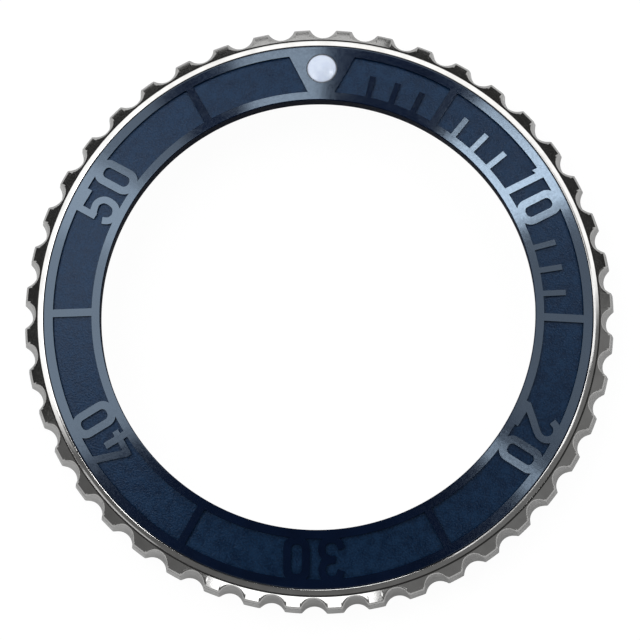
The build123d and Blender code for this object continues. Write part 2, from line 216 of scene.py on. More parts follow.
def turn(section: Sequence[Point], steps: int, corner: float = 0.0) -> bpy.types.Object:
    """Turn a closed section about the Z axis.

    Args:
        section: (radius, height) points in order.
        steps: Segments of the full turn.
        corner: Width of the break on every corner of the section.

    Returns:
        The turned ring.
    """
    piece = outline([(r, 0.0, z) for r, z in section], filled=False)
    with editing(piece):
        if corner:
            bpy.ops.mesh.bevel(offset=corner, segments=2, affect="VERTICES")
            bpy.ops.mesh.select_all(action="SELECT")
        bpy.ops.mesh.spin(
            steps=steps, angle=FULL_TURN, center=(0, 0, 0), axis=(0, 0, 1), use_auto_merge=True
        )
    weld(piece)
    return piece


def prism(shape: Sequence[Point], low: float, high: float) -> bpy.types.Object:
    """Extrude a flat outline upwards.

    Args:
        shape: (x, y) points in order.
        low: Height of the lower end.
        high: Height of the upper end.

    Returns:
        The closed prism.
    """
    piece = outline([(x, y, low) for x, y in shape], filled=True)
    with editing(piece):
        bpy.ops.mesh.extrude_region_move(TRANSFORM_OT_translate={"value": (0, 0, high - low)})
    weld(piece)
    return piece


def post(place: Point, radius: float, low: float, high: float, sides: int = 48) -> bpy.types.Object:
    """An upright round tool.

    Args:
        place: (x, y) of its axis.
        radius: Its radius.
        low: Height of its lower end.
        high: Height of its upper end.
        sides: Segments round it.

    Returns:
        The tool.
    """
    shape = []
    for i in range(sides):
        angle = FULL_TURN * (i + 0.5) / sides
        shape.append((place[0] + radius * math.cos(angle), place[1] + radius * math.sin(angle)))
    return prism(shape, low, high)


def use_modifier(piece: bpy.types.Object, kind: str, **settings: object) -> None:
    """Add a modifier to a piece and apply it.

    Args:
        piece: The mesh object.
        kind: The modifier's type.
        settings: Its properties.
    """
    only(piece)
    modifier = piece.modifiers.new(kind.title(), kind)
    for name, value in settings.items():
        setattr(modifier, name, value)
    bpy.ops.object.modifier_apply(modifier=modifier.name)


def carve(piece: bpy.types.Object, tool: bpy.types.Object) -> None:
    """Cut a tool's shape out of a piece and throw the tool away.

    Args:
        piece: The mesh object that is cut.
        tool: The closed mesh that is taken away.
    """
    use_modifier(piece, "BOOLEAN", operation="DIFFERENCE", solver="EXACT", object=tool)
    bpy.data.objects.remove(tool, do_unlink=True)


def polar(angle: float, r: float, aside: float = 0.0) -> Point:
    """A point on the dial.

    Args:
        angle: Degrees clockwise from 12 o'clock.
        r: Distance from the axis along that direction.
        aside: Distance to the clockwise side of that direction.

    Returns:
        Its (x, y).
    """
    a = math.radians(angle)
    return (r * math.sin(a) + aside * math.cos(a), r * math.cos(a) - aside * math.sin(a))


def smooth(piece: bpy.types.Object, angle: float = 35.0) -> None:
    """Shade a piece smooth except at its sharp edges, weighted by face size.

    Args:
        piece: The mesh object.
        angle: Edges sharper than this many degrees stay sharp.
    """
    only(piece)
    bpy.ops.object.shade_smooth_by_angle(angle=math.radians(angle))
    use_modifier(piece, "WEIGHTED_NORMAL", keep_sharp=True, weight=80)


@dataclass
class Assembly:
    """A group of pieces that ride on one body of the frame.

    Args:
        body: The body's name.
    """

    body: str

    def keep(
        self,
        piece: bpy.types.Object,
        name: str,
        slot: str,
        finishes: list[Finish],
        stands_for: tuple[str, ...] = (),
    ) -> bpy.types.Object:
        """Bring a finished piece to metres, dress it and put it on its body.

        Args:
            piece: The finished mesh object, in millimetres.
            name: Its name.
            slot: The record's material slot; not used.
            finishes: Its finishes, in the order of its material slots.
            stands_for: The nodes that it replaces.

        Returns:
            The same object.
        """
        only(piece)
        piece.scale = (METRES_PER_MM,) * 3
        bpy.ops.object.transform_apply(location=True, rotation=True, scale=True)
        piece.name = piece.data.name = name
        piece.data.materials.clear()
        for finish in finishes:
            piece.data.materials.append(finish.material())
        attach(piece, self.body)
        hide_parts(*stands_for)
        LOG.info("%s rides on %s, %d faces", name, self.body, len(piece.data.polygons))
        return piece


# Finishes

TEXTURE_LOW, TEXTURE_HIGH = 0.3, 0.7
LINE_STRETCH = 0.0004


class Sum(Enum):
    """What a math node works out."""

    ADD = "ADD"
    SUBTRACT = "SUBTRACT"
    MULTIPLY = "MULTIPLY"
    MULTIPLY_ADD = "MULTIPLY_ADD"
    LEAST = "MINIMUM"
    MOST = "MAXIMUM"
    ROOT = "SQRT"
    ANGLE = "ARCTAN2"


class Recipe:
    """The node tree of one material or world, filled step by step."""

    def __init__(self, owner: bpy.types.ID) -> None:
        """Start with an empty tree.

        Args:
            owner: The material or world that the tree belongs to.
        """
        owner.use_nodes = True
        self.tree = owner.node_tree
        self.tree.nodes.clear()

    def add(
        self, kind: str, inputs: dict[str | int, object] | None = None, **settings: object
    ) -> bpy.types.Node:
        """Add a node.

        Args:
            kind: The node's type.
            inputs: Values or sockets for its inputs, by name or number.
            settings: Its properties.

        Returns:
            The node.
        """
        node = self.tree.nodes.new(kind)
        for name, value in settings.items():
            setattr(node, name, value)
        for key, value in (inputs or {}).items():
            if isinstance(value, bpy.types.NodeSocket):
                self.tree.links.new(value, node.inputs[key])
            else:
                node.inputs[key].default_value = value
        return node

    def sum_of(self, kind: Sum, *terms: object) -> bpy.types.NodeSocket:
        """The output of a math node.

        Args:
            kind: What it works out.
            terms: Its inputs, values or sockets.

        Returns:
            Its output socket.
        """
        return self.add("ShaderNodeMath", dict(enumerate(terms)), operation=kind.value).outputs[0]

    def noise(
        self, vector: bpy.types.NodeSocket, scale: float, detail: float
    ) -> bpy.types.NodeSocket:
        """A noise texture's factor.

        Args:
            vector: Where it is read.
            scale: Its scale.
            detail: Its detail.

        Returns:
            The factor.
        """
        inputs = {"Vector": vector, "Scale": scale, "Detail": detail}
        return self.add("ShaderNodeTexNoise", inputs).outputs["Fac"]

    def spread(
        self,
        value: bpy.types.NodeSocket,
        low: float,
        high: float,
        start: float = TEXTURE_LOW,
        end: float = TEXTURE_HIGH,
    ) -> bpy.types.NodeSocket:
        """Map a value's range onto another range.

        Args:
            value: The value.
            low: What start becomes.
            high: What end becomes.
            start: Lower end of the value's range.
            end: Upper end of the value's range.

        Returns:
            The mapped value.
        """
        inputs = {"Value": value, "From Min": start, "From Max": end, "To Min": low, "To Max": high}
        return self.add("ShaderNodeMapRange", inputs).outputs[0]

    def blend(
        self,
        texture: bpy.types.NodeSocket,
        first: Colour,
        second: Colour,
        start: float = TEXTURE_LOW,
        end: float = TEXTURE_HIGH,
    ) -> bpy.types.NodeSocket:
        """Blend two colours by a texture.

        Args:
            texture: The texture's factor.
            first: The colour below start.
            second: The colour above end.
            start: Where the blend starts.
            end: Where it ends.

        Returns:
            The blended colour.
        """
        ramp = self.add("ShaderNodeValToRGB", {"Fac": self.spread(texture, 0.0, 1.0, start, end)})
        ramp.color_ramp.elements[0].color = (*first, 1)
        ramp.color_ramp.elements[1].color = (*second, 1)
        return ramp.outputs["Color"]

    def place(self) -> bpy.types.NodeSocket:
        """The piece's own coordinates, in metres."""
        return self.add("ShaderNodeTexCoord").outputs["Object"]

    def lathe_lines(self) -> bpy.types.NodeSocket:
        """Coordinates that follow the turning direction: fine across it and long along it."""
        xyz = self.add("ShaderNodeSeparateXYZ", {"Vector": self.place()}).outputs
        squares = [self.sum_of(Sum.MULTIPLY, xyz[axis], xyz[axis]) for axis in (0, 1)]
        r = self.sum_of(Sum.ROOT, self.sum_of(Sum.ADD, *squares))
        along = self.sum_of(Sum.MULTIPLY, self.sum_of(Sum.ANGLE, xyz[1], xyz[0]), LINE_STRETCH)
        return self.add("ShaderNodeCombineXYZ", {0: r, 1: along, 2: xyz[2]}).outputs[0]

    def bump(
        self, height: bpy.types.NodeSocket, strength: float, distance: float
    ) -> bpy.types.NodeSocket:
        """A bump normal.

        Args:
            height: The height texture.
            strength: Its strength.
            distance: Its depth in metres.

        Returns:
            The normal.
        """
        inputs = {"Height": height, "Strength": strength, "Distance": distance}
        return self.add("ShaderNodeBump", inputs).outputs["Normal"]

    def close(self, **inputs: object) -> None:
        """Finish with a Principled shader.

        Args:
            inputs: Its inputs by name, with underscores for spaces.
        """
        named = {name.replace("_", " "): value for name, value in inputs.items()}
        shader = self.add("ShaderNodeBsdfPrincipled", named)
        self.add("ShaderNodeOutputMaterial", {"Surface": shader.outputs[0]})


@dataclass(frozen=True)
class Finish:
    """One surface finish.

    Args:
        name: The material's name.
    """

    name: str

    def material(self) -> bpy.types.Material:
        """The material, made once and then shared."""
        made = bpy.data.materials.get(self.name)
        if made is None:
            made = bpy.data.materials.new(self.name)
            self.build(Recipe(made))
        return made

    def build(self, recipe: Recipe) -> None:
        """Fill the recipe; each kind of finish has its own.

        Args:
            recipe: The empty recipe.
        """
        raise NotImplementedError


@dataclass(frozen=True)
class Steel(Finish):
    """Turned and polished or satin steel.

    Args:
        light: Its colour between the handling marks.
        dark: Its colour at them.
        roughness: Range of its roughness.
        line_scale: Fineness of the turning lines.
        line_depth: Their depth in metres.
    """

    light: Colour = (0.655, 0.652, 0.645)
    dark: Colour = (0.55, 0.547, 0.54)
    roughness: tuple[float, float] = (0.07, 0.13)
    line_scale: float = 60000.0
    line_depth: float = 0.0000012

    def build(self, recipe: Recipe) -> None:
        """Steel with fine turning lines and faint handling marks.

        Args:
            recipe: The empty recipe.
        """
        place = recipe.place()
        lines = recipe.noise(recipe.lathe_lines(), scale=self.line_scale, detail=2.0)
        marks = recipe.noise(place, scale=900.0, detail=5.0)
        fine = recipe.noise(place, scale=9000.0, detail=3.0)
        recipe.close(
            Base_Color=recipe.blend(marks, self.dark, self.light),
            Metallic=1.0,
            Roughness=recipe.spread(fine, *self.roughness),
            Normal=recipe.bump(lines, strength=0.25, distance=self.line_depth),
        )


@dataclass(frozen=True)
class GlossCeramic(Finish):
    """Polished ceramic of the raised marks and borders.

    Args:
        deep: Its darker blue.
        pale: Its lighter blue.
        roughness: Range of its roughness.
        ior: How strongly it mirrors.
        sheen: Tint of its reflections.
    """

    deep: Colour = (0.0009, 0.0036, 0.0150)
    pale: Colour = (0.0016, 0.0060, 0.0230)
    roughness: tuple[float, float] = (0.10, 0.15)
    ior: float = 1.75
    sheen: Colour = (0.62, 0.80, 1.0)

    def build(self, recipe: Recipe) -> None:
        """Dark blue ceramic with a slight orange peel.

        Args:
            recipe: The empty recipe.
        """
        place = recipe.place()
        cloud = recipe.noise(place, scale=500.0, detail=4.0)
        peel = recipe.noise(place, scale=5200.0, detail=2.0)
        recipe.close(
            Base_Color=recipe.blend(cloud, self.deep, self.pale),
            Roughness=recipe.spread(peel, *self.roughness),
            IOR=self.ior,
            Specular_Tint=(*self.sheen, 1),
            Normal=recipe.bump(peel, strength=0.12, distance=0.000002),
        )


@dataclass(frozen=True)
class MattCeramic(Finish):
    """Blasted ceramic of the recessed floor.

    Args:
        deep: Its darker blue.
        pale: Its lighter blue.
        roughness: Range of its roughness.
        ior: How strongly it mirrors.
        sheen: Tint of its reflections.
        grain: Depth of the blasted grain in metres.
        mottle: Range of the texture over which the two blues blend.
        grain_share: Weight of the fine grain in that texture.
        cloud_share: Weight of the coarse cloud in it.
    """

    deep: Colour = (0.0020, 0.0102, 0.031)
    pale: Colour = (0.0055, 0.0220, 0.057)
    roughness: tuple[float, float] = (0.27, 0.34)
    ior: float = 1.34
    sheen: Colour = (0.58, 0.74, 1.0)
    grain: float = 0.000035
    mottle: tuple[float, float] = (0.42, 0.58)
    grain_share: float = 0.6
    cloud_share: float = 0.4

    def build(self, recipe: Recipe) -> None:
        """Dark blue ceramic with a blasted grain.

        Args:
            recipe: The empty recipe.
        """
        place = recipe.place()
        grain = recipe.noise(place, scale=8000.0, detail=3.0)
        cloud = recipe.noise(place, scale=1300.0, detail=3.0)
        grains = recipe.sum_of(Sum.MULTIPLY, grain, self.grain_share)
        clouds = recipe.sum_of(Sum.MULTIPLY, cloud, self.cloud_share)
        both = recipe.sum_of(Sum.ADD, grains, clouds)
        recipe.close(
            Base_Color=recipe.blend(both, self.deep, self.pale, *self.mottle),
            Roughness=recipe.spread(cloud, *self.roughness),
            IOR=self.ior,
            Specular_Tint=(*self.sheen, 1),
            Normal=recipe.bump(grain, strength=0.9, distance=self.grain),
        )


@dataclass(frozen=True)
class Rubber(Finish):
    """Black seal rubber."""

    colour: Colour = (0.010, 0.010, 0.011)
    dust: Colour = (0.022, 0.022, 0.023)

    def build(self, recipe: Recipe) -> None:
        """Rubber with a dusty bloom and a fine moulded grain.

        Args:
            recipe: The empty recipe.
        """
        place = recipe.place()
        bloom = recipe.noise(place, scale=1500.0, detail=4.0)
        grain = recipe.noise(place, scale=12000.0, detail=2.0)
        recipe.close(
            Base_Color=recipe.blend(bloom, self.colour, self.dust),
            Roughness=recipe.spread(bloom, low=0.5, high=0.7),
            Normal=recipe.bump(grain, strength=0.4, distance=0.000006),
        )


@dataclass(frozen=True)
class Plastic(Finish):
    """Pale sliding plastic of the washer."""

    colour: Colour = (0.62, 0.60, 0.54)
    pale: Colour = (0.72, 0.70, 0.65)

    def build(self, recipe: Recipe) -> None:
        """Waxy plastic with cutting lines.

        Args:
            recipe: The empty recipe.
        """
        cloud = recipe.noise(recipe.place(), scale=800.0, detail=3.0)
        lines = recipe.noise(recipe.lathe_lines(), scale=30000.0, detail=2.0)
        recipe.close(
            Base_Color=recipe.blend(cloud, self.colour, self.pale),
            Roughness=recipe.spread(cloud, low=0.38, high=0.5),
            Normal=recipe.bump(lines, strength=0.3, distance=0.000004),
        )


@dataclass(frozen=True)
class Lume(Finish):
    """Luminous fill of the pearl."""

    colour: Colour = (0.72, 0.80, 0.90)
    pale: Colour = (0.84, 0.90, 0.97)

    def build(self, recipe: Recipe) -> None:
        """Chalky fill with a fine powder grain.

        Args:
            recipe: The empty recipe.
        """
        powder = recipe.noise(recipe.place(), scale=14000.0, detail=4.0)
        recipe.close(
            Base_Color=recipe.blend(powder, self.colour, self.pale),
            Roughness=recipe.spread(powder, low=0.7, high=0.85),
            Normal=recipe.bump(powder, strength=0.3, distance=0.000006),
        )


@dataclass(frozen=True)
class Lens(Finish):
    """Clear to milky lens of the pearl."""

    colour: Colour = (0.63, 0.71, 0.88)
    pale: Colour = (0.70, 0.78, 0.92)
    clear: float = 0.10
    ior: float = 1.5

    def build(self, recipe: Recipe) -> None:
        """Milky lens that shows the fill below it.

        Args:
            recipe: The empty recipe.
        """
        cloud = recipe.noise(recipe.place(), scale=2500.0, detail=3.0)
        recipe.close(
            Base_Color=recipe.blend(cloud, self.colour, self.pale),
            Roughness=recipe.spread(cloud, low=0.16, high=0.24),
            Transmission_Weight=self.clear,
            IOR=self.ior,
        )


class Finishes:
    """The finishes of this object's pieces."""

    GRIP = Steel("grip steel")
    SEAT = Steel(
        "seat steel", (0.60, 0.59, 0.58), (0.48, 0.475, 0.465), (0.24, 0.34), 26000.0, 0.000003
    )
    RATCHET = Steel(
        "ratchet steel", (0.56, 0.55, 0.54), (0.44, 0.43, 0.42), (0.28, 0.38), 26000.0, 0.000003
    )
    # Near-black steel for the pearl's cup: painted shade that stands in for the shadow gap round
    # the lens.
    CUP_PAINTED_SHADE = Steel(
        "cup steel painted dark as shadow gap", (0.16, 0.17, 0.19), (0.11, 0.12, 0.14), (0.26, 0.34), 60000.0, 0.000001
    )
    PIN = Steel(
        "pin steel", (0.66, 0.65, 0.63), (0.54, 0.53, 0.51), (0.18, 0.28), 60000.0, 0.000002
    )
    SPRING = Steel(
        "spring steel", (0.58, 0.58, 0.60), (0.46, 0.46, 0.48), (0.22, 0.32), 60000.0, 0.000001
    )
    RELIEF = GlossCeramic("polished ceramic")
    FLOOR = MattCeramic("blasted ceramic")
    # Darker, duller blues for the relief's walls, its broken edges and the hidden faces: painted
    # shade for the dark outlines round the recess.
    SIDES = MattCeramic(
        "ceramic sides painted dark as shade", (0.0006, 0.003, 0.011), (0.0012, 0.005, 0.017), (0.5, 0.6), 1.08
    )
    RUBBER = Rubber("gasket rubber")
    WASHER = Plastic("washer plastic")
    LUME = Lume("lume")
    LENS = Lens("lens")


# Numerals, with x across a digit and y the distance from the turning axis

STROKE = 0.50
CURVE_STEPS = 6
CORNER_STEPS = 8
GLYPH_LOW = 15.6
GLYPH_HIGH = 19.3
NOUGHT = (0.94, 15.905, 19.075, 0.82)
NOUGHT_INSIDE = (0.395, 16.455, 18.495, 0.34)


def rounded_box(half_width: float, low: float, high: float, corner: float) -> list[Point]:
    """Outline of an upright box with round corners, centred on x 0.

    Args:
        half_width: Half its width.
        low: Its lower end.
        high: Its upper end.
        corner: Radius of its corners.

    Returns:
        The outline.
    """
    shape = []
    top, bottom = high - corner, low + corner
    for side, y, start in ((1, top, 0), (-1, top, 90), (-1, bottom, 180), (1, bottom, 270)):
        for i in range(CORNER_STEPS + 1):
            a = math.radians(start + 90 * i / CORNER_STEPS)
            x = side * (half_width - corner) + corner * math.cos(a)
            shape.append((x, y + corner * math.sin(a)))
    return shape


def through(points: list[Point]) -> list[Point]:
    """A smooth line through points.

    Args:
        points: The points it passes.

    Returns:
        The line's points.
    """
    held = [points[0], *points, points[-1]]
    line = []
    for i in range(len(points) - 1):
        a, b, c, d = (Vector(p) for p in held[i : i + 4])
        for k in range(CURVE_STEPS):
            t = k / CURVE_STEPS
            square, cube = 2 * a - 5 * b + 4 * c - d, 3 * b - a - 3 * c + d
            line.append(tuple((2 * b + (c - a) * t + square * t**2 + cube * t**3) / 2))
    return [*line, points[-1]]


def stroke(line: list[Point]) -> list[Point]:
    """Outline of a digit's stroke of even width along a line.

    Args:
        line: The middle of the stroke.

    Returns:
        The outline.
    """
    left, right = [], []
    for i, point in enumerate(line):
        before, after = Vector(line[max(i - 1, 0)]), Vector(line[min(i + 1, len(line) - 1)])
        side = (after - before).orthogonal().normalized() * STROKE / 2
        left.append(tuple(Vector(point) + side))
        right.append(tuple(Vector(point) - side))
    return left + right[::-1]


def bar(low_x: float, high_x: float, low_y: float, high_y: float) -> list[Point]:
    """Outline of a straight bar.

    Args:
        low_x: Its left side.
        high_x: Its right side.
        low_y: Its lower end.
        high_y: Its upper end.

    Returns:
        The outline.
    """
    return [(low_x, low_y), (high_x, low_y), (high_x, high_y), (low_x, high_y)]


class Digit(Enum):
    """The digits on the insert, each by its number."""

    ZERO = 0
    ONE = 1
    TWO = 2
    THREE = 3
    FOUR = 4
    FIVE = 5

    def strokes(self) -> list[list[Point]]:
        """The outlines that make the digit."""
        if self is Digit.ZERO:
            return [rounded_box(*NOUGHT)]
        if self is Digit.ONE:
            stem = [(-0.25, GLYPH_LOW), (0.25, GLYPH_LOW), (0.25, GLYPH_HIGH)]
            flag = [(-0.55, GLYPH_HIGH), (-0.55, 18.40), (-0.25, 18.52)]
            return [stem + flag]
        if self is Digit.TWO:
            hook = [(-0.70, 18.22), (-0.50, 18.68), (0.0, 18.88), (0.50, 18.68)]
            hook += [(0.70, 18.20), (0.52, 17.70), (-0.20, 16.85), (-0.86, 16.06)]
            foot = bar(-1.0, 0.88, GLYPH_LOW, 16.32)
            return [stroke(through(hook)), foot]
        if self is Digit.THREE:
            upper = [(-0.70, 18.22), (-0.50, 18.68), (0.0, 18.88), (0.48, 18.68)]
            upper += [(0.67, 18.20), (0.50, 17.72), (0.10, 17.52), (-0.30, 17.50)]
            lower = [(-0.30, 17.48), (0.10, 17.46), (0.52, 17.26), (0.70, 16.78)]
            lower += [(0.50, 16.28), (0.0, 16.08), (-0.50, 16.28), (-0.70, 16.74)]
            return [stroke(through(upper)), stroke(through(lower))]
        if self is Digit.FOUR:
            slant = [(0.16, GLYPH_HIGH), (-0.80, 16.56)]
            crossbar, stem = bar(-1.02, 1.0, 16.36, 16.80), bar(0.20, 0.68, GLYPH_LOW, 17.70)
            return [stroke(slant), crossbar, stem]
        bowl = [(-0.72, 17.50), (-0.30, 17.66), (0.18, 17.72), (0.60, 17.42), (0.70, 16.90)]
        bowl += [(0.52, 16.34), (0.0, 16.08), (-0.50, 16.26), (-0.74, 16.72)]
        neck, head = bar(-0.93, -0.45, 17.30, GLYPH_HIGH), bar(-0.93, 0.80, 18.50, GLYPH_HIGH)
        return [stroke(through(bowl)), neck, head]


@dataclass(frozen=True)
class Numeral:
    """A two-digit numeral that ends in a nought.

    Args:
        angle: Where it stands on the dial.
        tens: Its first digit.
        tens_x: Middle of the first digit.
        nought_x: Middle of the nought.
    """

    angle: float
    tens: Digit
    tens_x: float = -1.24
    nought_x: float = 1.24

    def placed(self, shape: list[Point], middle: float) -> list[Point]:
        """An outline of a digit, moved to its place on the dial."""
        return [polar(self.angle, y, x + middle) for x, y in shape]

    def shapes(self) -> list[list[Point]]:
        """Outlines of all that stands."""
        tens = [self.placed(shape, self.tens_x) for shape in self.tens.strokes()]
        return tens + [self.placed(shape, self.nought_x) for shape in Digit.ZERO.strokes()]

    def counter(self) -> list[Point]:
        """Outline of the nought's inside."""
        return self.placed(rounded_box(*NOUGHT_INSIDE), self.nought_x)


# The ceramic insert


class Surface(IntEnum):
    """The insert's surfaces, numbered as the material slots that they wear."""

    RELIEF = 0
    FLOOR = 1
    # The sides wear the darker ceramic, which is painted shade.
    SIDES = 2


@dataclass
class CeramicInsert(Assembly):
    """The conical insert with its relief, and the seal under it.

    Its face is carved while it lies flat at height 0, and is then laid on the cone.

    Args:
        edge_break: Width of the break on the insert's own two edges.
        edge_middle: Share of that width at the break's middle corner.
        relief_break: Width of the break on the relief's edges.
        relief_spare: How much wider the relief is cut, because the break narrows it.
        into_border: How far the standing shapes run into the borders.
        pocket_top: Height of the floor's tool.
        standing_span: Lower and upper end of the standing shapes.
        counter_top: Height of the tool for the inside of a nought.
        pearl_span: Lower and upper end of the tool for the pearl's hole.
        pearl_sides: Segments round that hole.
        clear_of_edges: Least distance of a relief edge from the insert's own edges.
        flat_enough: Upright share of a normal from which a face counts as flat.
        same_plane: Degrees within which neighbouring faces are merged.
        sharp_angle: Edges sharper than this many degrees stay sharp.
        depth_spare: Tolerance on depths when the surfaces are told apart.
        floor_spare: Tolerance on the floor's radii.
        face_spare: Depth down to which a face is still the top.
        break_depth: Depth down to which a face belongs to a break.
        steep: Upright share of a normal below which a face is a wall.
        lip_drop: Depth of the seal's lip below the insert's edge.
        lip_break: Width of the break on the lip.
        seal_span: Lower and upper end of the tools that pierce the seal.
        steps: Segments of a full turn.
        bar_width: Width of the five-minute bars.
        bar_angles: Where they stand.
        hash_width: Width of the minute marks.
        hash_length: Their length.
        hash_minutes: Where they stand.
        degrees_per_minute: The dial's degrees for one minute.
        triangle_outer: Half of the triangle's width at the outer border.
        triangle_inner: Half of its width at the inner border.
        numerals: The numerals.
    """

    edge_break: float = 0.085
    edge_middle: float = 0.3
    relief_break: float = 0.075
    relief_spare: float = 0.025
    into_border: float = 0.3
    pocket_top: float = 0.6
    standing_span: Point = (-0.5, 0.9)
    counter_top: float = 0.8
    pearl_span: Point = (-2.0, 1.0)
    pearl_sides: int = 96
    clear_of_edges: float = 0.2
    flat_enough: float = 0.9
    same_plane: float = 0.3
    sharp_angle: float = 30
    depth_spare: float = 0.03
    floor_spare: float = 0.02
    face_spare: float = 0.003
    break_depth: float = 0.08
    steep: float = 0.5
    lip_drop: float = 0.07
    lip_break: float = 0.01
    seal_span: Point = (1.0, TOOL_TOP)
    steps: int = 360
    bar_width: float = 0.50
    bar_angles: tuple[int, ...] = (30, 90, 150, 210, 270, 330)
    hash_width: float = 0.35
    hash_length: float = 1.60
    hash_minutes: tuple[int, ...] = (2, 3, 4, 6, 7, 8, 12, 13, 14)
    degrees_per_minute: int = 6
    triangle_outer: float = 2.40
    triangle_inner: float = 0.93
    numerals: tuple[Numeral, ...] = (
        Numeral(60, Digit.ONE, -1.13, 0.92),
        Numeral(120, Digit.TWO),
        Numeral(180, Digit.THREE),
        Numeral(240, Digit.FOUR),
        Numeral(300, Digit.FIVE),
    )

    def blank(self) -> bpy.types.Object:
        """The insert's turned blank, its face laid flat at height 0."""
        edge = self.edge_break
        middle = edge * self.edge_middle
        section = [
            (CONE.opening_r, CONE.skirt_bottom - CONE.face(CONE.opening_r)),
            (CONE.skirt_r, CONE.skirt_bottom - CONE.face(CONE.skirt_r)),
            (CONE.skirt_r, -CONE.thickness),
            (CONE.edge_r, -CONE.thickness),
            (CONE.edge_r, -edge),
            (CONE.edge_r - middle, -middle),
            (CONE.edge_r - edge, 0.0),
            (CONE.opening_r + edge, 0.0),
            (CONE.opening_r + middle, -middle),
            (CONE.opening_r, -edge),
        ]
        return turn(section, self.steps)

    def standing(self) -> list[list[Point]]:
        """Outlines of everything that stands between the borders."""
        low, high = CONE.floor_inner_r - self.into_border, CONE.floor_outer_r + self.into_border
        shapes = []
        for angle in self.bar_angles:
            half = self.bar_width / 2 + self.relief_spare
            shapes.append([polar(angle, r, x) for x, r in bar(-half, half, low, high)])
        half = self.hash_width / 2 + self.relief_spare
        top = CONE.floor_inner_r + self.hash_length + self.relief_spare
        for minute in self.hash_minutes:
            angle = minute * self.degrees_per_minute
            shapes.append([polar(angle, r, x) for x, r in bar(-half, half, low, top)])
        growth = self.triangle_outer - self.triangle_inner
        side = growth / (CONE.floor_outer_r - CONE.floor_inner_r)
        low_half = self.triangle_inner - side * self.into_border + self.relief_spare
        high_half = self.triangle_outer + side * self.into_border + self.relief_spare
        shapes.append([(-low_half, low), (low_half, low), (high_half, high), (-high_half, high)])
        for numeral in self.numerals:
            shapes.extend(numeral.shapes())
        return shapes

    def pocket(self) -> bpy.types.Object:
        """Tool for the recessed floor, with everything that stands left out of it."""
        inner = CONE.floor_inner_r + self.relief_spare
        outer = CONE.floor_outer_r - self.relief_spare
        tool = turn(bar(inner, outer, -CONE.relief, self.pocket_top), self.steps)
        for shape in self.standing():
            carve(tool, prism(shape, *self.standing_span))
        return tool

    def inland(self, r: float) -> bool:
        """Whether a radius lies well inside the insert's own two edges."""
        low, high = CONE.opening_r + self.clear_of_edges, CONE.edge_r - self.clear_of_edges
        return low < r < high

    def break_edges(self, piece: bpy.types.Object) -> None:
        """Break the relief's upper edges.

        Args:
            piece: The carved insert, its face still flat.
        """

        def sharp(edge: bmesh.types.BMEdge) -> bool:
            """Whether an edge runs along the face and drops into the relief."""
            if len(edge.link_faces) != 2 or any(abs(v.co.z) > WELD for v in edge.verts):
                return False
            flat = [abs(face.normal.z) > self.flat_enough for face in edge.link_faces]
            return flat[0] != flat[1] and all(self.inland(v.co.xy.length) for v in edge.verts)

        with editing(piece):
            bpy.ops.mesh.dissolve_limited(angle_limit=math.radians(self.same_plane))
            pick_edges(piece, sharp)
            bpy.ops.mesh.bevel(
                offset=self.relief_break, segments=2, affect="EDGES", clamp_overlap=True
            )

    def wrap(self, piece: bpy.types.Object) -> None:
        """Cut the face into narrow sectors and lay it on the cone.

        Args:
            piece: The insert, its face still flat.
        """
        with editing(piece):
            for i in range(self.steps // 2):
                bpy.ops.mesh.select_all(action="SELECT")
                angle = FULL_TURN * (i + 0.5) / self.steps
                across = (math.cos(angle), math.sin(angle), 0)
                bpy.ops.mesh.bisect(plane_co=(0, 0, 0), plane_no=across)
        for vertex in piece.data.vertices:
            vertex.co.z += CONE.face(vertex.co.xy.length)

    def surface(self, face: bpy.types.MeshPolygon) -> Surface:
        """Tell which surface of the insert a face belongs to.

        Args:
            face: A face of the finished insert, in metres.

        Returns:
            The surface.
        """
        centre = face.center / METRES_PER_MM
        r = centre.xy.length
        depth = CONE.face(r) - centre.z
        floor_depth = CONE.relief + self.depth_spare
        inner, outer = CONE.floor_inner_r - self.floor_spare, CONE.floor_outer_r + self.floor_spare
        recessed = inner < r < outer and self.break_depth < depth < floor_depth
        unseen = r < CONE.opening_r + self.depth_spare or depth > floor_depth
        broken = self.face_spare < depth <= self.break_depth and self.inland(r)
        # Recess walls, the relief's broken edges and hidden faces take the darker ceramic: painted
        # shade.
        if unseen or broken or (recessed and face.normal.z < self.steep):
            return Surface.SIDES
        return Surface.FLOOR if recessed else Surface.RELIEF

    def insert(self) -> None:
        """Carve, break, wrap and keep the insert."""
        piece = self.blank()
        carve(piece, self.pocket())
        for numeral in self.numerals:
            carve(piece, prism(numeral.counter(), -CONE.relief, self.counter_top))
        hole = post((0.0, CONE.pearl_r), CONE.pearl_hole, *self.pearl_span, self.pearl_sides)
        carve(piece, hole)
        self.break_edges(piece)
        self.wrap(piece)
        with editing(piece):
            bpy.ops.mesh.remove_doubles(threshold=WELD)
        smooth(piece, self.sharp_angle)
        finishes = [Finishes.RELIEF, Finishes.FLOOR, Finishes.SIDES]
        kept = self.keep(piece, "ceramic_insert", "insert_ceramic", finishes, ("bezel_insert",))
        for face in kept.data.polygons:
            face.material_index = self.surface(face)

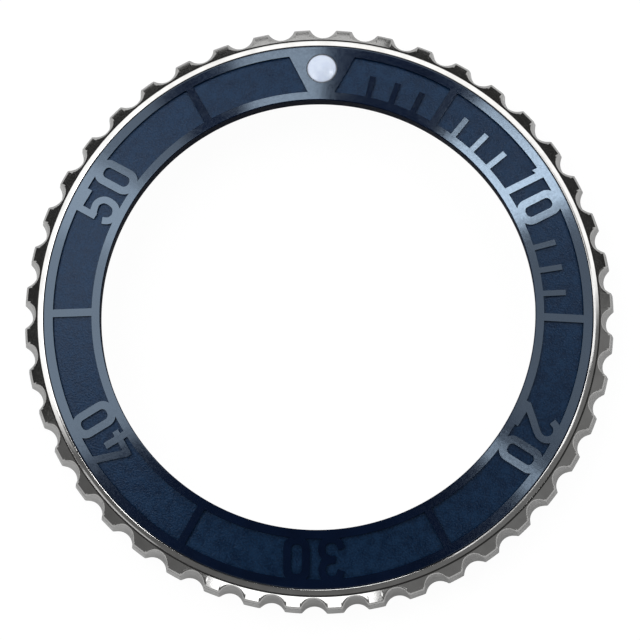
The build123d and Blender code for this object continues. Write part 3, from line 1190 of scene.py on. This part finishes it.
    def seal(self) -> None:
        """Turn the thin bed under the insert and its lip."""
        lip = CONE.edge_z - self.lip_drop
        pocket_r, inner_r = CONE.pocket_r, CONE.web_inner_r
        section = [
            (inner_r, CONE.web(inner_r)),
            (pocket_r, CONE.web(pocket_r)),
            (pocket_r, lip - self.lip_break),
            (pocket_r - self.lip_break, lip),
            (CONE.edge_r + self.lip_break, lip),
            (CONE.edge_r, lip - self.lip_break),
            (CONE.edge_r, CONE.bed(CONE.edge_r)),
            (inner_r, CONE.bed(inner_r)),
        ]
        piece = turn(section, self.steps)
        carve(piece, post((0.0, CONE.pearl_r), CONE.pearl_hole, *self.seal_span))
        key = polar(CONE.key_angle, CONE.key_r)
        carve(piece, post(key, CONE.key_hole, *self.seal_span, CONE.key_sides))
        smooth(piece)
        self.keep(piece, "insert_seal", "gasket_rubber", [Finishes.RUBBER], ("insert_gasket",))

    def build(self) -> None:
        """Build the insert and its seal."""
        self.insert()
        self.seal()


# The scalloped grip ring

HALVINGS = 40


def last_below(low: float, high: float, test: Callable[[float], bool]) -> float:
    """Halve a range until it closes on the point where a test stops holding.

    Args:
        low: Start of the range, where the test holds.
        high: End of the range, where it doesn't.
        test: Called with a point of the range.

    Returns:
        The point.
    """
    for _ in range(HALVINGS):
        middle = (low + high) / 2
        if test(middle):
            low = middle
        else:
            high = middle
    return low


@dataclass
class GripRing(Assembly):
    """The steel ring: rim, flank, scalloped grip wall, web, rib and bore.

    One pitch of the ring, from the middle of a land over a scallop to the next land, is
    laid out in columns. Each column runs up the outside, over the rim and down the inside.

    Args:
        bore_r: Radius of the bore.
        under_z: Height of the underside.
        under_r: Radius of the underside's outer edge.
        wall_low_r: Radius of the grip wall at its foot.
        wall_low_z: Height of that foot.
        wall_top_r: Radius of the grip wall at its top.
        wall_top_z: Height of that top.
        foot_r: Radius of the rim's foot, where the flank ends.
        foot_z: Height of the rim's foot.
        ledge: Fall of the ledge between the flank and the rim.
        scallops: Number of scallops.
        cutter_r: Radius of the round cutter.
        cutter_place: Distance of the cutter from the axis at the underside.
        cutter_lean: Its lean towards the axis, in degrees.
        edge_width: Width of the bevel on a land's upper edge.
        scallop_edge: Width of the bevel on a scallop's upper edge.
        corner_width: Width of the bevel on a scallop's side edges.
        bow: How far the flank swells.
        edge_limit: Largest share of the flank that a bevel takes.
        mitre: Share of the scallop's bevel that turns the corner onto the land.
        mitre_spare: Angle left between two columns at that corner, in radians.
        scallop_columns: Columns from a scallop's middle to its side.
        column_crowding: How they crowd towards the side: the sine's steps to a half turn.
        corner_place: Half of the scallop's width as a share of the cutter's radius.
        corner_pull: How far the corner's middle column lies inside, as a share of its width.
        land_middle: Place of the column on the land, as a share of half the land.
        rim_foot: The rim's foot.
        rim_crown: The rim's crowned top.
        rim_lip: The rim's inner edge, down to the top of the pocket.
        web_under: Height of the web's underside.
        rib_inner_r: Inner radius of the rib that runs on the washer.
        rib_outer_r: Its outer radius.
        rib_under: Height of its underside.
        snap_r: Radius of the groove for the retaining ring.
        bore_break_r: Radius of the bore's lower break.
        bore_break_z: Height of that break.
        key_depth: Depth of the key's hole in the web.
        dowel_angles: Where the dowels stand.
        dowel_place: Their distance from the axis.
        dowel_r: Radius of their holes.
        dowel_span: Lower and upper end of the tools for them.
        dowel_sides: Segments round them.
        sharp_angle: Edges sharper than this many degrees stay sharp.
    """

    bore_r: float = 18.97
    under_z: float = 0.80
    under_r: float = 20.85
    wall_low_r: float = 21.00
    wall_low_z: float = 0.95
    wall_top_r: float = 20.90
    wall_top_z: float = 2.42
    foot_r: float = 20.02
    foot_z: float = 3.12
    ledge: float = 0.05
    scallops: int = 44
    cutter_r: float = 1.0
    cutter_place: float = 21.46
    cutter_lean: float = 6.8
    edge_width: float = 0.18
    scallop_edge: float = 0.08
    corner_width: float = 0.06
    bow: float = 0.005
    edge_limit: float = 0.6
    mitre: float = 0.85
    mitre_spare: float = 0.0012
    scallop_columns: int = 6
    column_crowding: int = 13
    corner_place: float = 0.88
    corner_pull: float = 0.35
    land_middle: float = 0.55
    rim_foot: tuple[Point, ...] = ((20.06, 3.0695), (19.972, 3.069))
    rim_crown: tuple[Point, ...] = (
        (19.965, 3.137),
        (19.915, 3.167),
        (19.86, 3.1975),
        (19.80, 3.2265),
        (19.74, 3.2536),
        (19.68, 3.2766),
    )
    rim_lip: tuple[Point, ...] = ((19.612, 3.30), (19.598, 3.296), (CONE.pocket_r, 3.284))
    web_under: float = 2.30
    rib_inner_r: float = 16.30
    rib_outer_r: float = 17.35
    rib_under: float = 1.78
    snap_r: float = 19.185
    bore_break_r: float = 19.00
    bore_break_z: float = 0.83
    key_depth: float = 0.40
    dowel_angles: tuple[int, ...] = (30, 150, 270)
    dowel_place: float = 18.15
    dowel_r: float = 0.22
    dowel_span: Point = (1.5, 2.54)
    dowel_sides: int = 24
    sharp_angle: float = 33

    def wall(self, z: float) -> float:
        """Radius of the unscalloped outside at height z."""
        if z <= self.wall_low_z:
            share = (z - self.under_z) / (self.wall_low_z - self.under_z)
            return self.under_r + share * (self.wall_low_r - self.under_r)
        if z <= self.wall_top_z:
            share = (z - self.wall_low_z) / (self.wall_top_z - self.wall_low_z)
            return self.wall_low_r + share * (self.wall_top_r - self.wall_low_r)
        share = (z - self.wall_top_z) / (self.foot_z - self.wall_top_z)
        return self.wall_top_r + share * (self.foot_r - self.wall_top_r)

    def valley(self, z: float, turn_angle: float) -> float:
        """Radius of the scallop's surface.

        Args:
            z: Height.
            turn_angle: Angle from the scallop's middle, in radians.

        Returns:
            The radius, or a large one where the cutter passes by.
        """
        lean = math.radians(self.cutter_lean)
        centre = self.cutter_place - (z - self.under_z) * math.tan(lean)
        squash = (self.cutter_r / math.cos(lean)) ** 2
        side = self.cutter_r**2
        a = math.cos(turn_angle) ** 2 / squash + math.sin(turn_angle) ** 2 / side
        b = -2 * centre * math.cos(turn_angle) / squash
        c = centre**2 / squash - 1
        inside = b * b - 4 * a * c
        return (-b - math.sqrt(inside)) / (2 * a) if inside > 0 else math.inf

    def half_width(self, z: float) -> float:
        """Angle from the scallop's middle to its edge at height z, in radians."""
        widest = self.cutter_r / self.wall_top_r
        return last_below(0.0, widest, lambda angle: self.valley(z, angle) < self.wall(z))

    def crossing(self, turn_angle: float) -> float:
        """Height at which the scallop runs out in the flank.

        Args:
            turn_angle: Angle from the scallop's middle, in radians.

        Returns:
            The height.
        """
        return last_below(
            self.wall_top_z, self.foot_z, lambda z: self.valley(z, turn_angle) < self.wall(z)
        )

    def column(self, share: float, beyond: float, pulled: float) -> list[Place]:
        """The outer face along one column of the pitch.

        Args:
            share: Place across the scallop, from -1 to 1.
            beyond: Angle past the scallop's edge, in radians, or 0.
            pulled: How far the column lies inside the corner.

        Returns:
            (angle, radius, height) from the underside to the flank's top.
        """
        on_land = abs(share) >= 1
        sign = math.copysign(1, share)

        def angle(z: float) -> float:
            """The column's angle at height z."""
            return share * self.half_width(min(z, self.wall_top_z)) + sign * beyond

        def radius(z: float) -> float:
            """The column's radius at height z, up to the flank."""
            return self.wall(z) if on_land else min(self.wall(z), self.valley(z, angle(z)))

        top = self.wall_top_z if on_land else self.crossing(angle(self.wall_top_z))
        span = math.hypot(self.wall_top_r - self.foot_r, self.foot_z - self.wall_top_z)
        climb = (self.foot_z - self.wall_top_z) / span
        high = self.foot_z - self.ledge
        wanted = self.edge_width if on_land else self.scallop_edge
        edge = min(wanted, self.edge_limit * (high - top) / climb)
        heights = [self.under_z, self.wall_low_z, (self.wall_low_z + top) / 2, top - edge]
        rows = [(angle(z), radius(z) - pulled, z) for z in heights]
        across = self.mitre * min(abs(share), 1.0) * self.scallop_edge / self.wall_top_r
        if beyond:
            across = across - beyond + self.mitre_spare if beyond < across else 0.0
        steep = 1.0 if on_land else math.sqrt(1 - (self.mitre * share) ** 2)
        above = top + edge * climb * steep
        middle = (above + high) / 2
        bow = self.bow * ((high - above) / (high - self.wall_top_z)) ** 2
        moved = angle(above) + sign * across
        rows.append((moved, self.wall(above) - pulled, above))
        rows.append((moved, self.wall(middle) + bow, middle))
        rows.append((moved, self.wall(high), high))
        return rows

    def rim(self) -> list[Point]:
        """The crowned rim from the ledge at its foot to the insert's pocket."""
        return [*self.rim_foot, *self.rim_crown, *self.rim_lip]

    def inside(self) -> list[Point]:
        """The ring's inner faces from the pocket's floor back to the bore's lower edge."""
        return [
            (CONE.pocket_r, CONE.web(CONE.pocket_r)),
            (CONE.web_inner_r, CONE.web(CONE.web_inner_r)),
            (CONE.web_inner_r, self.web_under),
            (self.rib_inner_r, self.web_under),
            (self.rib_inner_r, self.rib_under),
            (self.rib_outer_r, self.rib_under),
            (self.rib_outer_r, self.web_under),
            (self.bore_r, self.web_under),
            (self.bore_r, SNAP_HIGH),
            (self.snap_r, SNAP_HIGH),
            (self.snap_r, SNAP_LOW),
            (self.bore_r, SNAP_LOW),
            (self.bore_r, self.bore_break_z),
            (self.bore_break_r, self.under_z),
        ]

    def shares(self) -> list[Place]:
        """(share, beyond, pulled) of the columns of one pitch, from land to land."""
        corner = self.corner_width / (self.cutter_r * self.corner_place)
        edge = self.corner_width / self.wall_low_r
        pitch = math.pi / self.scallops
        land = pitch - self.half_width(self.wall_low_z)
        right = [(0.0, 0.0, 0.0)]
        count, crowding = self.scallop_columns, self.column_crowding
        widest = math.sin(count * math.pi / crowding)
        for i in range(1, count + 1):
            share = (1 - corner) * math.sin(i * math.pi / crowding) / widest
            right.append((share, 0.0, 0.0))
        right.append((1.0, 0.0, self.corner_width * self.corner_pull))
        right.append((1.0, edge, 0.0))
        right.append((1.0, land * self.land_middle, 0.0))
        right.append((1.0, math.inf, 0.0))
        left = [(-share, beyond, pulled) for share, beyond, pulled in reversed(right[1:])]
        return left + right

    def pitch(self) -> bpy.types.Object:
        """One pitch of the ring, shaped from a grid."""
        pitch = math.pi / self.scallops
        columns = []
        for share, beyond, pulled in self.shares():
            if math.isinf(beyond):
                end = math.copysign(pitch, share)
                rows = [(end, r, z) for _, r, z in self.column(share, pitch, 0.0)]
            else:
                rows = self.column(share, beyond, pulled)
            last = rows[-1][0]
            inner = [(last, r, z) for r, z in self.rim() + self.inside()]
            columns.append([*rows, *inner, rows[0]])
        cells = {"x_subdivisions": len(columns) - 1, "y_subdivisions": len(columns[0]) - 1}
        bpy.ops.object.select_all(action="DESELECT")
        bpy.ops.mesh.primitive_grid_add(**cells, size=1)
        piece = bpy.context.object
        for number, vertex in enumerate(piece.data.vertices):
            angle, r, z = columns[number % len(columns)][number // len(columns)]
            vertex.co = (r * math.sin(angle), r * math.cos(angle), z)
        return piece

    def build(self) -> None:
        """Repeat the pitch round the ring, cut its holes and keep it."""
        piece = self.pitch()
        copies = self.scallops - 1
        sweep = FULL_TURN * copies / self.scallops
        with editing(piece):
            bpy.ops.mesh.spin(
                steps=copies, dupli=True, angle=sweep, center=(0, 0, 0), axis=(0, 0, 1)
            )
        weld(piece)
        cup_bottom = CONE.face(CONE.pearl_r) - CONE.cup_depth
        carve(piece, post((0.0, CONE.pearl_r), CONE.pearl_hole, cup_bottom, TOOL_TOP))
        key, key_bottom = polar(CONE.key_angle, CONE.key_r), CONE.web(CONE.key_r) - self.key_depth
        carve(piece, post(key, CONE.key_hole, key_bottom, TOOL_TOP, CONE.key_sides))
        for angle in self.dowel_angles:
            place = polar(angle, self.dowel_place)
            carve(piece, post(place, self.dowel_r, *self.dowel_span, self.dowel_sides))
        smooth(piece, self.sharp_angle)
        self.keep(piece, "scalloped_grip_ring", "grip_steel", [Finishes.GRIP], ("bezel_ring",))


# The pearl


@dataclass
class Pearl(Assembly):
    """The luminous pearl: cup, fill and lens.

    The cup and the lens are turned with their tops at a height well above everything, which
    marks those points, and the tops are then let down onto the face and the crown.

    Args:
        lens_r: Radius of the lens.
        cup_wall: Thickness of the cup's wall.
        cup_break: Width of the break on the cup's lower edge.
        cup_lip: Width of the break on its upper edge.
        cup_floor: Thickness of its floor.
        fill_height: Height of the fill.
        crown_r: Radius of the lens's crown.
        cup_drop: How far the cup's top lies under the face.
        mark_from: Height above which a point counts as marked.
        mark_low: Height that marks the foot of a break.
        mark_high: Height that marks a top.
        lens_rings: Shares of the lens's radius at which its crown is laid out.
        lens_break: Depth of the break on the lens's edge.
        lens_sharp_angle: Edges of the lens sharper than this many degrees stay sharp.
        steps: Segments of a full turn.
    """

    lens_r: float = 1.02
    cup_wall: float = 0.07
    cup_break: float = 0.03
    cup_lip: float = 0.02
    cup_floor: float = 0.12
    fill_height: float = 0.45
    crown_r: float = 3.5
    cup_drop: float = 0.04
    mark_from: float = 5.0
    mark_low: float = 9.0
    mark_high: float = 9.1
    lens_rings: tuple[float, ...] = (0.96, 0.9, 0.82, 0.7, 0.5, 0.3, 0.15, 0)
    lens_break: float = 0.03
    lens_sharp_angle: float = 50
    steps: int = 96

    def centred(self, section: list[Point]) -> bpy.types.Object:
        """Turn a section on the pearl's axis.

        Args:
            section: (radius, height) points.

        Returns:
            The turned piece in its place.
        """
        piece = turn(section, self.steps)
        for vertex in piece.data.vertices:
            vertex.co.y += CONE.pearl_r
        return piece

    def crown(self, x: float, y: float) -> float:
        """Height of the lens's crown above a point of the dial."""
        sink = math.sqrt(self.crown_r**2 - self.lens_r**2)
        lean = math.atan(CONE.slope)
        centre_y = CONE.pearl_r - sink * math.sin(lean)
        centre_z = CONE.face(CONE.pearl_r) - sink * math.cos(lean)
        return centre_z + math.sqrt(max(self.crown_r**2 - x**2 - (y - centre_y) ** 2, 0.0))

    def build(self) -> None:
        """Build and keep the three pieces."""
        bottom = CONE.face(CONE.pearl_r) - CONE.cup_depth
        inside = bottom + self.cup_floor
        fill_top = inside + self.fill_height
        outer = self.lens_r + self.cup_wall
        outside = [(0, bottom), (outer - self.cup_break, bottom), (outer, bottom + self.cup_break)]
        lip = [(outer, self.mark_low), (outer - self.cup_lip, self.mark_high)]
        hollow = [(self.lens_r, self.mark_high), (self.lens_r, inside), (0, inside)]
        cup = self.centred(outside + lip + hollow)
        for vertex in cup.data.vertices:
            if vertex.co.z > self.mark_from:
                vertex.co.z += CONE.face(vertex.co.y) - self.cup_drop - self.mark_high
        smooth(cup)
        # The cup wears the steel painted dark as the shadow gap round the lens.
        self.keep(cup, "pearl_holder", "cup_steel", [Finishes.CUP_PAINTED_SHADE], ("pearl_cup",))
        fill = self.centred(bar(0, self.lens_r, inside, fill_top))
        smooth(fill)
        self.keep(fill, "pearl_fill", "lume", [Finishes.LUME], ("pearl_lume",))
        section = [(0, fill_top), (self.lens_r, fill_top), (self.lens_r, self.mark_low)]
        section += [(self.lens_r * share, self.mark_high) for share in self.lens_rings]
        lens = self.centred(section)
        between = (self.mark_low + self.mark_high) / 2
        for vertex in lens.data.vertices:
            if vertex.co.z > self.mark_from:
                drop = self.lens_break if vertex.co.z < between else 0.0
                vertex.co.z = self.crown(vertex.co.x, vertex.co.y) - drop
        smooth(lens, self.lens_sharp_angle)
        self.keep(lens, "pearl_window", "lens_glass", [Finishes.LENS], ("pearl_lens",))


# The fixed seat


@dataclass
class Seat(Assembly):
    """The fixed ring and what sits on it.

    Args:
        bore_r: Radius of the bore.
        bore_break: Width of the small breaks.
        outer_r: Outer radius.
        edge_break: Width of the break on the upper outer edge.
        height: Height of the ring.
        seal_groove: Inner and outer radius of the case seal's groove.
        seal_groove_top: Height of that groove.
        snap_r: Radius of the groove for the retaining ring.
        plunger_angles: Where the click plungers stand.
        plunger_place: Their distance from the axis.
        plunger_bore: Radius of their bores.
        plunger_span: Lower and upper end of the tools for them.
        plunger_sides: Segments round them.
        seal_box: Inner radius, outer radius, foot and top of the case seal.
        seal_corner: Width of the breaks on it.
        washer_box: Inner radius, outer radius, foot and top of the washer.
        washer_corner: Width of the breaks on it.
        sharp_angle: Edges of both sharper than this many degrees stay sharp.
        steps: Segments of a full turn.
    """

    bore_r: float = 16.0
    bore_break: float = 0.05
    outer_r: float = 18.92
    edge_break: float = 0.10
    height: float = 1.6
    seal_groove: Point = (16.58, 17.22)
    seal_groove_top: float = 0.40
    snap_r: float = 18.705
    plunger_angles: tuple[int, ...] = (0, 120, 240)
    plunger_place: float = 17.95
    plunger_bore: float = 0.38
    plunger_span: Point = (0.25, 2.0)
    plunger_sides: int = 32
    seal_box: tuple[float, float, float, float] = (16.60, 17.20, 0.02, 0.38)
    seal_corner: float = 0.06
    washer_box: tuple[float, float, float, float] = (16.32, 17.33, 1.60, 1.78)
    washer_corner: float = 0.02
    sharp_angle: float = 50
    steps: int = 300

    def ring(self) -> None:
        """Turn the seat ring with its grooves and bore its spring holes."""
        small, groove_in, groove_out = self.bore_break, *self.seal_groove
        section = [
            (self.bore_r + small, 0.0),
            (groove_in, 0.0),
            (groove_in, self.seal_groove_top),
            (groove_out, self.seal_groove_top),
            (groove_out, 0.0),
            (self.outer_r - small, 0.0),
            (self.outer_r, small),
            (self.outer_r, SNAP_LOW),
            (self.snap_r, SNAP_LOW),
            (self.snap_r, SNAP_HIGH),
            (self.outer_r, SNAP_HIGH),
            (self.outer_r, self.height - self.edge_break),
            (self.outer_r - self.edge_break, self.height),
            (self.bore_r + small, self.height),
            (self.bore_r, self.height - small),
            (self.bore_r, small),
        ]
        piece = turn(section, self.steps)
        for angle in self.plunger_angles:
            place = polar(angle, self.plunger_place)
            carve(piece, post(place, self.plunger_bore, *self.plunger_span, self.plunger_sides))
        smooth(piece)
        self.keep(piece, "fixed_seat_ring", "seat_steel", [Finishes.SEAT], ("seat_ring",))

    def seals(self) -> None:
        """Turn the case seal and the glide washer."""
        seal = turn(bar(*self.seal_box), self.steps, self.seal_corner)
        smooth(seal, self.sharp_angle)
        self.keep(seal, "case_seal", "gasket_rubber", [Finishes.RUBBER], ("case_gasket",))
        washer = turn(bar(*self.washer_box), self.steps, self.washer_corner)
        smooth(washer, self.sharp_angle)
        self.keep(washer, "sliding_washer", "washer_plastic", [Finishes.WASHER], ("glide_washer",))

    def build(self) -> None:
        """Build the ring and its seals."""
        self.ring()
        self.seals()


@dataclass
class CarriedOver:
    """The frame's own nodes that stay, with their finishes.

    Args:
        nodes: The frame's nodes by name.
    """

    nodes: dict[str, bpy.types.Object]

    def build(self) -> None:
        """Dress each node."""
        finishes: dict[str, Finish] = {
            "retaining_ring": Finishes.SPRING,
            "ratchet_ring": Finishes.RATCHET,
            "ratchet_dowels": Finishes.PIN,
            "insert_key": Finishes.PIN,
        }
        for number in (1, 2, 3):
            finishes[f"click_plunger_{number}"] = Finishes.PIN
            finishes[f"click_spring_{number}"] = Finishes.SPRING
        for name, finish in finishes.items():
            self.nodes[name].data.materials.clear()
            self.nodes[name].data.materials.append(finish.material())
            LOG.info("%s is the frame's own", name)


# The studio


@dataclass(frozen=True)
class SoftBox:
    """A soft lamp on the sky round the object.

    Args:
        name: The lamp's name.
        clock: Its direction on the dial, degrees clockwise from 12 o'clock.
        polar: Its angle from straight up.
        width: Its width as seen from the object, in degrees.
        height: Its height as seen from the object, in degrees.
        level: Its brightness, where 1 is white.
        distance: Its distance from the object, in metres.
    """

    name: str
    clock: float
    polar: float
    width: float
    height: float
    level: float
    distance: float = 0.6

    def build(self) -> None:
        """Hang the lamp, facing the object."""
        light = bpy.data.lights.new(self.name, "AREA")
        light.shape = "RECTANGLE"
        light.size = 2 * self.distance * math.tan(math.radians(self.width / 2))
        light.size_y = 2 * self.distance * math.tan(math.radians(self.height / 2))
        light.energy = self.level * math.pi * light.size * light.size_y
        lamp = bpy.data.objects.new(self.name, light)
        bpy.context.scene.collection.objects.link(lamp)
        c, p = math.radians(self.clock), math.radians(self.polar)
        towards = Vector((math.sin(c) * math.sin(p), math.cos(c) * math.sin(p), math.cos(p)))
        lamp.location = towards * self.distance
        lamp.rotation_euler = towards.to_track_quat("Z", "Y").to_euler()


@dataclass
class Studio:
    """Floor, sky, lamps and camera, in metres and degrees.

    Args:
        floor_size: Length of the floor's sides.
        floor_drop: How far it lies under the object.
        floor_grey: Its colour.
        floor_glow: Its brightness to the eye.
        glow_seen: Share of the glow that the camera sees; the rest keeps the shadow.
        glow_mirrored: Share of the glow that the object mirrors.
        sky_colour: Colour of the sky.
        sweep_level: Brightness of the sweep behind 12 o'clock.
        sweep_turn: How far the sweep is turned towards 9 o'clock.
        sweep_edge: Range over which it fades out at its sides.
        sweep_foot: Range over which it fades in above the horizon.
        sweep_head: Range over which it fades out overhead.
        front_level: Brightness of the rest of the sky.
        front_lean: How much brighter that is towards 3 o'clock.
        front_head: Range over which it fades out overhead.
        overhead_level: Least brightness anywhere.
        sensor_width: Width of the camera's sensor, in millimetres.
        clip: Nearest and farthest distance that the camera sees.
        elevation: Height of the camera over the horizon.
        azimuth: Its direction, anticlockwise from 6 o'clock.
        roll: Its roll about its line of sight.
        distance: Its distance from the point that it looks at.
        view_width: Width of the frame at that point.
        aim: The point that it looks at.
        boxes: The lamps.
    """

    floor_size: float = 3.0
    floor_drop: float = 0.00002
    floor_grey: float = 0.54
    floor_glow: float = 1.07
    glow_seen: float = 0.90
    glow_mirrored: float = 0.12
    sky_colour: Colour = (1.0, 0.997, 0.99)
    sweep_level: float = 1.6
    sweep_turn: float = 0.25
    sweep_edge: Point = (-0.06, 0.09)
    sweep_foot: Point = (0.27, 0.32)
    sweep_head: Point = (0.69, 0.74)
    front_level: float = 0.14
    front_lean: float = 0.04
    front_head: Point = (0.84, 0.90)
    overhead_level: float = 0.03
    sensor_width: float = 36.0
    clip: Point = (0.01, 20.0)
    elevation: float = 80.717
    azimuth: float = 12.027
    roll: float = -11.269
    distance: float = 0.7
    view_width: float = 0.045586
    aim: Place = (0.000088, -0.000002, 0.0018)
    boxes: tuple[SoftBox, ...] = (
        SoftBox("lamp over 12", 350, 39, 10, 9, 5.0),
        SoftBox("lamp over 2", 37, 36.5, 15, 6, 11.5),
        SoftBox("lamp over 3", 78, 31, 34, 12, 1.35),
        SoftBox("strip over 3", 76, 42, 14, 8, 1.3),
        SoftBox("lamp over 4", 114, 25.5, 3, 8, 5.0),
        SoftBox("strip over 4", 128, 30.5, 18, 5, 2.0),
        SoftBox("card at 6", 187, 68, 37, 14, 2.0),
        SoftBox("strip over 8", 234, 58, 20, 8, 0.6),
        SoftBox("lamp over 9", 288, 31, 34, 32, 2.9),
        SoftBox("lamp over 10", 315, 36, 18, 26, 1.7),
        SoftBox("card at 12", 357, 84, 24, 9, 0.75),
    )

    def floor(self) -> None:
        """Lay the pale floor, white to the eye but with the object's shadow."""
        bpy.ops.object.select_all(action="DESELECT")
        bpy.ops.mesh.primitive_plane_add(size=self.floor_size, location=(0, 0, -self.floor_drop))
        floor = bpy.context.object
        floor.name = "floor"
        floor.data.materials.append(bpy.data.materials.new("floor"))
        recipe = Recipe(floor.active_material)
        path = recipe.add("ShaderNodeLightPath").outputs
        mirrored = recipe.sum_of(Sum.MOST, path["Is Glossy Ray"], path["Is Transmission Ray"])
        direct = recipe.sum_of(Sum.MULTIPLY, path["Is Camera Ray"], self.glow_seen)
        dimmed = recipe.sum_of(Sum.MULTIPLY, mirrored, self.glow_mirrored)
        share = recipe.sum_of(Sum.MOST, direct, dimmed)
        grey = (*[self.floor_grey] * 3, 1)
        matt = recipe.add("ShaderNodeBsdfDiffuse", {"Color": grey}).outputs[0]
        white = {"Color": (1, 1, 1, 1), "Strength": self.floor_glow}
        glow = recipe.add("ShaderNodeEmission", white).outputs[0]
        top = recipe.add("ShaderNodeMixShader", {0: share, 1: matt, 2: glow}).outputs[0]
        clear = recipe.add("ShaderNodeBsdfTransparent").outputs[0]
        under = recipe.add("ShaderNodeNewGeometry").outputs["Backfacing"]
        both = recipe.add("ShaderNodeMixShader", {0: under, 1: top, 2: clear}).outputs[0]
        recipe.add("ShaderNodeOutputMaterial", {"Surface": both})

    def sky(self) -> None:
        """A bright sweep behind 12 o'clock, dim overhead and behind the camera."""
        world = bpy.data.worlds.new("studio")
        bpy.context.scene.world = world
        recipe = Recipe(world)
        place = recipe.add("ShaderNodeTexCoord").outputs["Generated"]
        xyz = recipe.add("ShaderNodeSeparateXYZ", {0: place}).outputs
        turned = recipe.sum_of(Sum.MULTIPLY, xyz[0], self.sweep_turn)
        across = recipe.sum_of(Sum.SUBTRACT, xyz[1], turned)
        behind = recipe.spread(across, 0.0, 1.0, *self.sweep_edge)
        foot = recipe.spread(xyz[2], 0.0, 1.0, *self.sweep_foot)
        head = recipe.spread(xyz[2], 1.0, 0.0, *self.sweep_head)
        band = recipe.sum_of(Sum.LEAST, foot, head)
        shape = recipe.sum_of(Sum.MULTIPLY, band, behind)
        sweep = recipe.sum_of(Sum.MULTIPLY, shape, self.sweep_level)
        lean = recipe.sum_of(Sum.MULTIPLY, xyz[0], self.front_lean)
        side = recipe.sum_of(Sum.ADD, lean, self.front_level)
        below = recipe.spread(xyz[2], 1.0, 0.0, *self.front_head)
        front = recipe.sum_of(Sum.SUBTRACT, 1.0, behind)
        before = recipe.sum_of(Sum.MULTIPLY, below, front)
        both = recipe.sum_of(Sum.MULTIPLY_ADD, side, before, sweep)
        level = recipe.sum_of(Sum.ADD, both, self.overhead_level)
        soft = {"Color": (*self.sky_colour, 1), "Strength": level}
        studio = recipe.add("ShaderNodeBackground", soft).outputs[0]
        plain = {"Color": (1, 1, 1, 1), "Strength": 1.0}
        white = recipe.add("ShaderNodeBackground", plain).outputs[0]
        seen = recipe.add("ShaderNodeLightPath").outputs["Is Camera Ray"]
        mixed = recipe.add("ShaderNodeMixShader", {0: seen, 1: studio, 2: white}).outputs[0]
        recipe.add("ShaderNodeOutputWorld", {"Surface": mixed})

    def camera(self) -> None:
        """Set the camera at the photograph's angle."""
        data = bpy.data.cameras.new("camera")
        data.sensor_width = self.sensor_width
        data.lens = data.sensor_width * self.distance / self.view_width
        data.clip_start, data.clip_end = self.clip
        camera = bpy.data.objects.new("camera", data)
        bpy.context.scene.collection.objects.link(camera)
        a, e = math.radians(self.azimuth), math.radians(self.elevation)
        back = Vector((math.sin(a) * math.cos(e), -math.cos(a) * math.cos(e), math.sin(e)))
        camera.location = Vector(self.aim) + back * self.distance
        turned = back.to_track_quat("Z", "Y").to_matrix().to_4x4()
        rolled = Matrix.Rotation(math.radians(self.roll), 4, "Z")
        camera.matrix_world = Matrix.Translation(camera.location) @ turned @ rolled
        bpy.context.scene.camera = camera

    def build(self) -> None:
        """Build the studio."""
        self.floor()
        self.sky()
        for box in self.boxes:
            box.build()
        self.camera()
        bpy.context.scene.view_settings.view_transform = "Standard"


def main() -> None:
    """Load the frame and build everything round it."""
    logging.basicConfig(level=logging.INFO, format="%(name)s: %(message)s")
    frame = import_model()
    Studio().build()
    GripRing("bezel").build()
    CeramicInsert("bezel").build()
    Pearl("bezel").build()
    Seat("seat").build()
    CarriedOver(frame["nodes"]).build()


if __name__ == "__main__":
    main()
